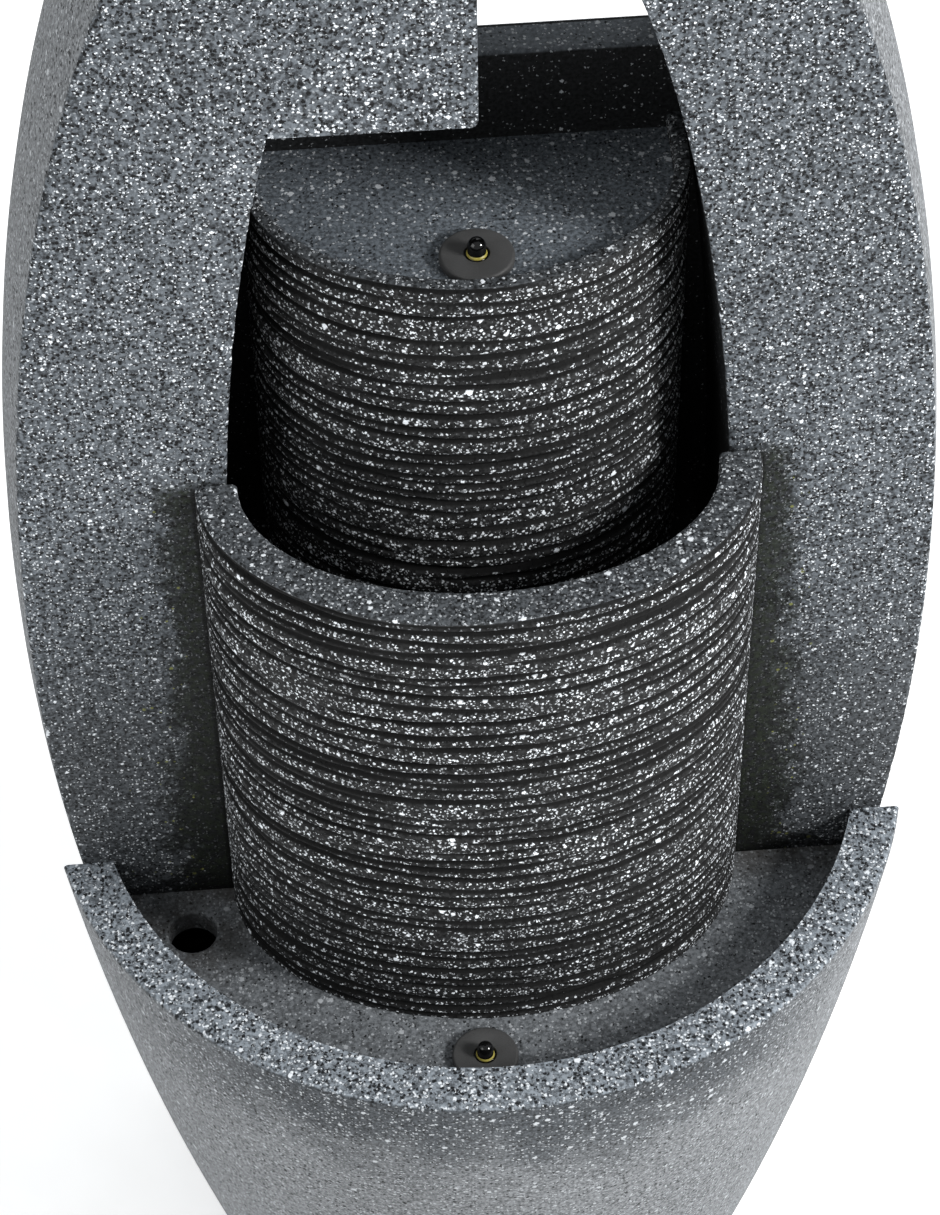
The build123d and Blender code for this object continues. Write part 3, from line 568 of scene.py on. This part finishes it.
low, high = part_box("lower_tier")
lower_tier = make_tier(
    "scored_lower_tier", "lower_tier", wall=12 * MM, flat_back=0, rows=440, columns=150,
    rim_round=1.5 * MM, grooves=Grooves(low.z, high.z, 4.7 * MM, 1.9 * MM, seed=4),
    rough=0.25 * MM)
low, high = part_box("upper_tier")
upper_tier = make_tier(
    "scored_upper_tier", "upper_tier", wall=4.5 * MM, flat_back=15.4 * MM, rows=270, columns=130,
    rim_round=1.0 * MM, grooves=Grooves(low.z, high.z, 4.7 * MM, 2.1 * MM, seed=11),
    rough=0.35 * MM)


# %% [markdown]
# ## Painting the tiers
#
# The tiers were painted nearly black, and the rubbed rims show the paler stone. The shade that
# falls in the grooves is painted into their colour, so the depth that was cut is kept with each
# point and the finish reads it.

# %% Finish of the tiers
def tier_finish(name, rim_height, rim_look, seen_wall):
    """Charcoal stone with painted shade in the grooves, and paler with more chips on the rim."""
    material, tree, shader = new_material(name)
    where = where_on(tree)
    height_here = split(tree, where)[2]
    on_top = fade(tree, height_here, rim_height - 2.4 * MM, rim_height - 0.9 * MM)
    groove = tree.nodes.new("ShaderNodeAttribute")
    groove.attribute_name = "groove"
    # Painted shade: the deeper a groove is cut, the fewer chips it shows and the nearer black it is
    # painted.
    deep = fade(tree, groove.outputs["Fac"], 0.07, 0.38)
    amounts = between(tree, on_top, seen_wall, rim_look)
    keep = calc(tree, "SUBTRACT", 1.0, deep)
    for label in ("chip_share", "big_share"):
        amounts[label] = calc(tree, "MULTIPLY", amounts[label], keep)
    colour, height = stone_surface(tree, where, amounts)
    colour = blend_colour(tree, calc(tree, "MULTIPLY", deep, 0.93), colour, grey(5))
    shade_stone(tree, shader, colour, height)
    return material


paint(lower_tier, tier_finish("lower tier stone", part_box("lower_tier")[1].z,
                              look(34, 94, 240, chip_share=0.6, pit_share=0.6), SCORED))
paint(upper_tier, tier_finish("upper tier stone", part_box("upper_tier")[1].z,
                              look(28, 84, 240, chip_share=0.6, pit_share=0.6), SCORED))


# %% [markdown]
# ## The tower
#
# The tower is a slice of a tall egg: its front and back are flat, its side bulges, and where
# they meet there is a hard crease. An oval window goes through it, with a block left standing
# in the upper left for the spout. It is drawn as the real outline: one ring for the crease and
# one for the window, bridged into a flat face. A filled oval is cut by planes to leave the
# block's face. The side and the window's walls are then drawn back from the edges, and the skin
# is made 6 mm thick. A Boolean cut would give the same shape, but its edges could not be
# chipped so evenly.

# %% Sizes of the tower
tower_low, tower_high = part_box("tower_shell")
FRONT_Y = tower_low.y
FLOOR_Z = tower_low.z
EGG_MIDDLE = 297 * MM
EGG_REACH = tower_high.x
EGG_HEIGHT = tower_high.z - EGG_MIDDLE
WINDOW_X = 71.8 * MM
WINDOW_Z = 278 * MM
BLOCK_X = 1 * MM
BLOCK_Z = 488 * MM
SILL_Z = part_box("lower_pool_floor")[0].z
SKIN = 6 * MM
RING = 1200                 # points round the crease, a little over 1 mm apart
SIDE_STEPS = (1, 2, 3, 5, 8, 14, 21, 30, 39, 48, 54, 59, 62, 64, 65, 66)    # mm from the front
WALL_STEPS = (1, 3, 12, 33, 54, 66)     # the same for the window's flat walls
SUPPORT = 1.8 * MM          # a strip kept along both edges, so that chips stay near them
SOFT_EDGE = 0.55 * MM       # the worn round on the crease and the window's edge
BLOCK_ROUND = 2.2 * MM      # the block's lower corner
CHIP_BITE = 1.3 * MM        # how deep the largest chips are


def slice_share(y):
    """How much narrower the egg is in the plane y than in its middle."""
    return sqrt(1 - (y / EGG_REACH) ** 2)


# %% Front face of the tower
def oval(bm, reach_x, reach_z, y):
    """A ring of points on an upright oval, seen from the front."""
    ring = bmesh.ops.create_circle(bm, segments=RING, radius=1)["verts"]
    bmesh.ops.scale(bm, verts=ring, vec=(reach_x, reach_z, 1))
    bmesh.ops.rotate(bm, verts=ring, cent=(0, 0, 0), matrix=Matrix.Rotation(pi / 2, 3, "X"))
    bmesh.ops.translate(bm, verts=ring, vec=(0, y, EGG_MIDDLE))
    return set(ring)


def edges_of(ring):
    """The edges that join a ring's points."""
    return list({e for v in ring for e in v.link_edges if e.other_vert(v) in ring})


def window_share(point):
    """How far out a point lies: 1 on the window's outline, more outside it."""
    return hypot(point.x / WINDOW_X, (point.z - EGG_MIDDLE) / WINDOW_Z)


def is_window(point):
    """Whether a point of the front plane lies in the open window."""
    in_block = point.x < BLOCK_X and point.z > BLOCK_Z
    return point.z > SILL_Z and not in_block


def front_face(bm):
    """The flat front, with its window and its block; hands back the crease and window edges."""
    share = slice_share(FRONT_Y)
    outline = oval(bm, EGG_REACH * share, EGG_HEIGHT * share, FRONT_Y)
    window = edges_of(oval(bm, WINDOW_X, WINDOW_Z, FRONT_Y))
    between_them = bmesh.ops.bridge_loops(bm, edges=edges_of(outline) + window)["faces"]
    bmesh.ops.inset_region(bm, faces=between_them, thickness=SUPPORT, use_boundary=True,
                           use_even_offset=True)
    ends = [e for e in bm.edges if e.is_boundary]
    window = [e for e in ends if window_share(e.verts[0].co) < 1.01]
    crease = [e for e in ends if window_share(e.verts[0].co) > 1.01]
    bmesh.ops.contextual_create(bm, geom=window)
    cuts = (((0, 0, SILL_Z), UP), ((0, 0, BLOCK_Z), UP), ((BLOCK_X, 0, 0), Vector((1, 0, 0))))
    for point, normal in cuts:
        parts = {f for f in bm.faces
                 if len(f.verts) > 5 and max(v.co.z for v in f.verts) > SILL_Z + CLEAN}
        corners = {v for f in parts for v in f.verts}
        sides = {e for f in parts for e in f.edges}
        bmesh.ops.bisect_plane(bm, geom=[*parts, *corners, *sides], dist=CLEAN,
                               plane_co=point, plane_no=normal)
    air = [f for f in bm.faces if len(f.verts) > 5 and is_window(f.calc_center_bounds())]
    bmesh.ops.delete(bm, geom=air, context="FACES_ONLY")
    bmesh.ops.delete(bm, geom=[e for e in bm.edges if not e.link_faces], context="EDGES")
    rim_edges = set(crease)
    hole = [e for e in bm.edges if e.is_boundary and e not in rim_edges]
    return crease, hole


def draw_back(bm, edges, y, scale=1.0):
    """Pulls open edges back to the plane y, and lets them grow about the egg's middle."""
    made = bmesh.ops.extrude_edge_only(bm, edges=edges)["geom"]
    points = [g for g in made if isinstance(g, bmesh.types.BMVert)]
    for vert in points:
        vert.co.y = y
    centre = Matrix.Translation((0, 0, -EGG_MIDDLE))
    bmesh.ops.scale(bm, verts=points, vec=(scale, 1, scale), space=centre)
    return [g for g in made if isinstance(g, bmesh.types.BMEdge)]


# %% Skin, chips and thickness
def chip_edges(bm):
    """Breaks small chips out of the crease and of the window's edge."""
    share = slice_share(FRONT_Y)
    for vert in bm.verts:
        x, y, z = vert.co
        if y > FRONT_Y + 1.5 * MM:
            continue
        outer = hypot(x / (EGG_REACH * share), (z - EGG_MIDDLE) / (EGG_HEIGHT * share))
        inner = window_share(vert.co)
        near_edge = outer > 0.991 or (0.995 < inner < 1.012 and z > SILL_Z)
        if not near_edge:
            continue
        rough = noise.noise(vert.co * 310) + 0.5 * noise.noise(vert.co * 900)
        bite = max(0.0, rough - 0.12) * CHIP_BITE
        side = -1 if outer > 0.991 else 1
        outward = Vector((x, 0, z - EGG_MIDDLE)).normalized()
        vert.co += outward * side * bite * 0.6 + Vector((0, bite, 0))


bm = bmesh.new()
crease, hole = front_face(bm)
corner = min((v for e in hole for v in e.verts),
             key=lambda v: hypot(v.co.x - BLOCK_X, v.co.z - BLOCK_Z))
bmesh.ops.bevel(bm, geom=[corner], affect="VERTICES", offset=BLOCK_ROUND, segments=4, profile=0.5,
                material=-1)
rim_edges = set(crease)
hole = [e for e in bm.edges if e.is_boundary and e not in rim_edges]
front_edges = list(crease)
edges = crease
before = FRONT_Y
for step in SIDE_STEPS:
    y = FRONT_Y + step * MM
    edges = draw_back(bm, edges, y, slice_share(y) / slice_share(before))
    before = y
edges = hole
for step in WALL_STEPS:
    edges = draw_back(bm, edges, FRONT_Y + step * MM)
bmesh.ops.bevel(bm, geom=front_edges + hole, affect="EDGES", offset=SOFT_EDGE, segments=2,
                profile=0.5, material=-1)
chip_edges(bm)
bmesh.ops.bisect_plane(bm, geom=bm.verts[:] + bm.edges[:] + bm.faces[:], dist=CLEAN,
                       plane_co=(0, 0, FLOOR_Z), plane_no=UP, clear_inner=True)
bmesh.ops.remove_doubles(bm, verts=bm.verts, dist=CLEAN)
bmesh.ops.recalc_face_normals(bm, faces=bm.faces[:])
front_facing = max(bm.faces, key=lambda f: f.calc_area()).normal.y < 0
if not front_facing:
    bmesh.ops.reverse_faces(bm, faces=bm.faces[:])
tower = to_object(bm, "tower_stone", sharp=40)
thick = tower.modifiers.new("skin", "SOLIDIFY")
thick.thickness = SKIN
thick.offset = -1
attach(tower, "fountain")
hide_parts("tower_shell")
print("tower", len(tower.data.vertices), "points in the skin")


# %% [markdown]
# ## Painting the tower and the pot
#
# The front face was rubbed back until the marble showed, so it has the sharpest speckle, and low
# down it is painted darker for the shade that falls there. The side is as it left the mould.
# Inside the window the stone is darker. Beside the lower tier a green film grows where water
# splashes, and the shade that falls beside the tier is painted there too, as a dark band and a
# thin dark line along the joint.
# The pot is rubbed on its flat rim, and its wall loses its speckle as it goes down.

# %% Finish of the tower
tier_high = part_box("lower_tier")[1]


def tower_finish():
    """Rubbed front painted darker low down, smooth side, dark window walls, and green growth with
    painted shade beside the tier.
    """
    material, tree, shader = new_material("tower stone")
    where = where_on(tree)
    x, y, z = split(tree, where)
    off_x = calc(tree, "ABSOLUTE", x)
    waver = cloud(tree, where, 130, detail=3)
    # Painted shade: below about 0.3 m the front face is painted darker.
    low_shade = fade(tree, calc(tree, "MULTIPLY_ADD", waver, 0.05, z), 0.36, 0.26)
    front = between(tree, low_shade, RUBBED, RUBBED_LOW_SHADE)
    side = fade(tree, y, FRONT_Y + 0.5 * MM, FRONT_Y + 1.3 * MM)
    amounts = between(tree, side, front, SMOOTH)
    over_x = calc(tree, "DIVIDE", x, WINDOW_X)
    over_z = calc(tree, "DIVIDE", calc(tree, "SUBTRACT", z, EGG_MIDDLE), WINDOW_Z)
    reach = calc(tree, "SQRT", calc(tree, "ADD", calc(tree, "MULTIPLY", over_x, over_x),
                                    calc(tree, "MULTIPLY", over_z, over_z)))
    inside = multiply(tree, fade(tree, reach, 1.02, 1.01), fade(tree, z, SILL_Z - MM, SILL_Z), side)
    amounts = between(tree, inside, amounts, INNER)
    colour, height = stone_surface(tree, where, amounts)
    drop = calc(tree, "SUBTRACT", tier_high.z, z)
    width = fade(tree, drop, 0.0, 0.16, 11 * MM, 19 * MM)
    width = calc(tree, "MULTIPLY", width, fade(tree, waver, 0.3, 0.7, 0.7, 1.3))
    patchy = cloud(tree, where, 420, detail=4, rough=0.65)
    away = calc(tree, "DIVIDE", calc(tree, "SUBTRACT", off_x, tier_high.x), width)
    away = calc(tree, "ADD", away, fade(tree, patchy, 0.3, 0.7, -0.3, 0.3))
    below = fade(tree, drop, -4 * MM, 4 * MM)
    # Painted shade and a green film: the dark grey in this band stands for the shade beside the tier,
    # the green for the film.
    film_and_shade = multiply(tree, fade(tree, away, 1.15, 0.55), below,
                    calc(tree, "SUBTRACT", 1.0, side))
    moss_and_shade = blend_colour(tree, fade(tree, patchy, 0.4, 0.65), grey(15), (0.015, 0.02, 0.011, 1))
    cover = calc(tree, "MULTIPLY", film_and_shade, fade(tree, patchy, 0.35, 0.6, 0.76, 0.96))
    colour = blend_colour(tree, cover, colour, moss_and_shade)
    buds = place(tree, chips, Where=where, Per_Metre=420, Share=0.16, Size=0.3)
    rim_of_film = multiply(tree, fade(tree, away, 0.4, 0.8), fade(tree, away, 1.5, 0.9), below,
                           calc(tree, "SUBTRACT", 1.0, side))
    colour = blend_colour(tree, calc(tree, "MULTIPLY", buds["Mask"], rim_of_film), colour,
                          (0.19, 0.2, 0.06, 1))
    # Painted shadow: a thin, nearly black line along the joint with the lower tier.
    seam_shadow = multiply(tree, fade(tree, off_x, tier_high.x + 1.6 * MM, tier_high.x + 0.4 * MM), below)
    colour = blend_colour(tree, calc(tree, "MULTIPLY", seam_shadow, 0.8), colour, grey(8))
    shade_stone(tree, shader, colour, height)
    return material


# %% Finish of the pot and its floor
RIM_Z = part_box("base_shell")[1].z
DRAIN = (-92 * MM, -49 * MM, 184 * MM)


def pot_finish():
    """Coarse rubbed rim, and a wall whose speckle fades out downwards and sideways."""
    material, tree, shader = new_material("pot stone")
    where = where_on(tree)
    x, y, z = split(tree, where)
    waver = cloud(tree, where, 60, detail=3)
    above = calc(tree, "MULTIPLY_ADD", waver, 0.05, z)
    speckled = multiply(tree, fade(tree, above, 0.165, 0.222),
                        fade(tree, calc(tree, "ABSOLUTE", x), 0.125, 0.06), fade(tree, y, 0.0, -0.05))
    wall = between(tree, speckled, SMOOTH, FRONT_WALL)
    on_top = fade(tree, z, RIM_Z - 1.1 * MM, RIM_Z - 0.3 * MM)
    amounts = between(tree, on_top, wall, TOP_RIM)
    colour, height = stone_surface(tree, where, amounts)
    shade_stone(tree, shader, colour, height, depth=0.35)
    return material


def deck_finish():
    """Softer speckle, darker and browner round the drain and along the tower's foot."""
    material, tree, shader = new_material("deck stone")
    where = where_on(tree)
    x, y, z = split(tree, where)
    colour, height = stone_surface(tree, where, DECK)
    waver = cloud(tree, where, 90, detail=4, rough=0.6)
    from_drain = move_vector(tree, "SUBTRACT", where, DRAIN)
    length = tree.nodes.new("ShaderNodeVectorMath")
    length.operation = "LENGTH"
    put(tree, length.inputs[0], from_drain)
    round_drain = fade(tree, length.outputs["Value"], 0.03, 0.008)
    along_foot = fade(tree, y, FRONT_Y - 16 * MM, FRONT_Y - 1 * MM)
    # Round the drain and along the tower's foot the deck is made darker and browner.
    brown_darkening = calc(tree, "MULTIPLY", calc(tree, "MAXIMUM", round_drain, along_foot),
                fade(tree, waver, 0.32, 0.62, 0.25, 1.0))
    colour = blend_colour(tree, calc(tree, "MULTIPLY", brown_darkening, 0.7), colour, (0.036, 0.031, 0.026, 1))
    shade_stone(tree, shader, colour, height)
    return material


def plain_stone(name, amounts, depth=0.3):
    """One look all over."""
    material, tree, shader = new_material(name)
    where = where_on(tree)
    colour, height = stone_surface(tree, where, amounts)
    shade_stone(tree, shader, colour, height, depth)
    return material


def splash_finish():
    """Dark painted wall with a paler rubbed top, and a thin line scratched along it."""
    material, tree, shader = new_material("splash wall stone")
    where = where_on(tree)
    x, y, z = split(tree, where)
    low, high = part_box("splash_wall")
    on_top = fade(tree, z, high.z - 1.0 * MM, high.z - 0.3 * MM)
    amounts = between(tree, on_top, INNER, look(84, 112, 185, blue=1.05, chip_share=0.4))
    colour, height = stone_surface(tree, where, amounts)
    from_line = calc(tree, "ABSOLUTE", calc(tree, "SUBTRACT", y, high.y - 1.6 * MM))
    line = multiply(tree, fade(tree, from_line, 0.55 * MM, 0.2 * MM), on_top)
    colour = blend_colour(tree, line, colour, grey(12))
    shade_stone(tree, shader, colour, height)
    return material


paint(tower, tower_finish())
paint("base_shell", pot_finish())
paint("basin_floor", deck_finish())
paint("upper_bowl_floor", plain_stone("bowl stone", BOWL))
paint("splash_wall", splash_finish())
paint("lower_pool_floor", plain_stone("pool stone", INNER))
paint("tower_back", plain_stone("cover stone", SMOOTH))

# %% [markdown]
# ## The lights
#
# Each light is a bulb in a soft rubber disc that sits over a hole in the floor. Both are turned
# shapes, so each is half a section spun round. The disc's edge is rounded, and a narrow gap is
# left round the bulb. The bulb is a clear dome on a flange, coloured nearly black as a painted
# reflection of its dark surroundings, and its phosphor shows as a yellow band at the foot of the
# dome.

# %% Turned pieces
def turned(name, outline, centre, rounds, steps, node, closed):
    """Spins an outline of (radius, height) points; rounds gives a radius to some corners."""
    bm = bmesh.new()
    points = [bmesh.ops.create_vert(bm, co=(r, 0, z))["vert"][0] for r, z in outline]
    pairs = list(zip(points, points[1:] + points[:1] if closed else points[1:]))
    for first, second in pairs:
        bmesh.ops.contextual_create(bm, geom=[first, second])
    for place_in_list, radius in rounds.items():
        bmesh.ops.bevel(bm, geom=[points[place_in_list]], affect="VERTICES", offset=radius,
                        segments=5, profile=0.5, material=-1)
    bmesh.ops.spin(bm, geom=bm.verts[:] + bm.edges[:], cent=(0, 0, 0), axis=UP, angle=2 * pi,
                   steps=steps, use_merge=True)
    bmesh.ops.remove_doubles(bm, verts=bm.verts, dist=CLEAN)
    bmesh.ops.translate(bm, verts=bm.verts, vec=centre)
    bmesh.ops.recalc_face_normals(bm, faces=bm.faces[:])
    piece = to_object(bm, name, sharp=40)
    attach(piece, "fountain")
    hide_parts(node)
    return piece


def light(which):
    """One disc and its bulb, on their measured places."""
    low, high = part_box("light_disc_" + which)
    bulb_low, bulb_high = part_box("light_bulb_" + which)
    centre = Vector(((low.x + high.x) / 2, (low.y + high.y) / 2, 0))
    reach = (high.x - low.x) / 2
    top = high.z
    flange = (bulb_high.x - bulb_low.x) / 2
    outline = [(2.6 * MM, low.z), (4 * MM, low.z), (4 * MM, top - 2.5 * MM), (reach, top - 2.5 * MM),
               (reach, top), (flange + 0.5 * MM, top), (flange + 0.5 * MM, top - 1.3 * MM),
               (2.6 * MM, top - 1.3 * MM)]
    disc = turned("rubber_disc_" + which, outline, centre,
                  {3: 0.4 * MM, 4: 0.9 * MM, 5: 0.25 * MM}, 96,
                  "light_disc_" + which, True)
    dome = 2.5 * MM
    seat = top - 1.25 * MM
    outline = [(0, bulb_low.z), (dome, bulb_low.z), (dome, seat), (flange, seat),
               (flange, seat + 1 * MM), (dome, seat + 1 * MM)]
    outline += [(dome * cos(radians(a)), bulb_high.z - dome + dome * sin(radians(a)))
                for a in range(0, 91, 9)]
    bulb = turned("clear_dome_" + which, outline, centre, {3: 0.2 * MM, 4: 0.2 * MM}, 48,
                  "light_bulb_" + which, False)
    band = [(dome, seat + 1 * MM), (flange - 0.1 * MM, seat + 1 * MM),
            (flange - 0.1 * MM, top + 0.1 * MM), (dome, top + 0.5 * MM)]
    core = turned("phosphor_band_" + which, band, centre, {2: 0.1 * MM}, 48,
                  "light_bulb_" + which, True)
    return disc, bulb, core


lights = [light("lower"), light("upper")]
print("lights", [piece.name for pieces in lights for piece in pieces])

# %% [markdown]
# ## Everything else
#
# The pump, the wiring, the hose, the door and its hardware are behind or inside. They are
# ordinary moulded, drawn or stamped things, so one function covers them: a colour that drifts,
# a fine grain in the roughness and the bump. Each slot has its own shades, shine and grain.
# Their measured shapes are kept as they are. The floor they stand on is painted here too: it is
# nearly white and glows a little, so that it stays pale where the lamps do not reach.

# %% Finishes of the small parts
def small_finish(name, dark, light, rough, grain=1500, depth=0.04, metal=0.0, clear=0.0):
    """A drifting colour with grain in its shine and its bump."""
    material, tree, shader = new_material(name)
    where = where_on(tree)
    speck = cloud(tree, where, grain, detail=3)
    drift = cloud(tree, where, 60, detail=3)
    tone = calc(tree, "MULTIPLY_ADD", speck, 0.4, calc(tree, "MULTIPLY", drift, 0.6))
    put(tree, shader.inputs["Base Color"],
        blend_colour(tree, fade(tree, tone, 0.35, 0.65), dark, light))
    put(tree, shader.inputs["Roughness"],
        fade(tree, speck, 0.3, 0.7, max(0.02, rough - 0.07), min(1.0, rough + 0.07)))
    shader.inputs["Metallic"].default_value = metal
    shader.inputs["Transmission Weight"].default_value = clear
    bump = tree.nodes.new("ShaderNodeBump")
    bump.inputs["Strength"].default_value = 0.5
    bump.inputs["Distance"].default_value = depth * MM
    put(tree, bump.inputs["Height"], speck)
    put(tree, shader.inputs["Normal"], bump.outputs[0])
    return material


RUBBER = small_finish("soft black rubber", grey(58), grey(76), 0.62, grain=2600, depth=0.1)
# Painted reflection: the clear dome is coloured nearly black for the dark surroundings it reflects.
GLASS = small_finish("clear dome with painted dark reflection", grey(14), grey(24), 0.05, grain=60, depth=0.0, clear=0.25)
PHOSPHOR = small_finish("yellow phosphor", (0.24, 0.2, 0.03, 1), (0.42, 0.36, 0.08, 1), 0.4)
SMALL = {
    small_finish("black plastic", grey(30), grey(40), 0.42): (
        "pump_body", "pump_cover", "inlet_cage", "pump_outlet", "spout_elbow", "spout_nozzle",
        "cable_gland", "gland_nut", "wire_box"),
    small_finish("grey plastic", grey(112), grey(124), 0.45): (
        "flow_dial", "pump_impeller", "access_door", "door_pull"),
    small_finish("clear hose", grey(205), grey(220), 0.18, grain=300, clear=0.85): ("riser_hose",),
    small_finish("black lead", grey(22), grey(30), 0.5): (
        "lead_lower_light", "lead_upper_light", "pump_lead"),
    small_finish("open foam", grey(38), grey(64), 0.95, grain=1800, depth=0.5): ("inlet_sponge",),
    small_finish("copper winding", (0.5, 0.19, 0.08, 1), (0.72, 0.33, 0.15, 1), 0.3, metal=1.0): (
        "pump_coils",),
    small_finish("white ceramic", grey(222), grey(236), 0.2, grain=900): ("pump_shaft",),
    small_finish("stainless steel", grey(168), grey(190), 0.32, grain=700, metal=1.0): (
        "cover_screws", "hinge_leaf", "hinge_pin", "catch_magnets", "catch_plates"),
    RUBBER: ("pump_suckers", "rubber_feet"),
}
for material, nodes in SMALL.items():
    for node in nodes:
        paint(node, material)
PALE = small_finish("pale floor", grey(250), grey(254), 0.6, grain=30, depth=0.0)
glow = PALE.node_tree.nodes["Principled BSDF"].inputs
glow["Emission Color"].default_value = (1, 1, 1, 1)
glow["Emission Strength"].default_value = 0.45
paint(floor, PALE)
for disc, bulb, core in lights:
    paint(disc, RUBBER)
    paint(bulb, GLASS)
    paint(core, PHOSPHOR)

print("painted", sum(len(nodes) for nodes in SMALL.values()), "small parts")
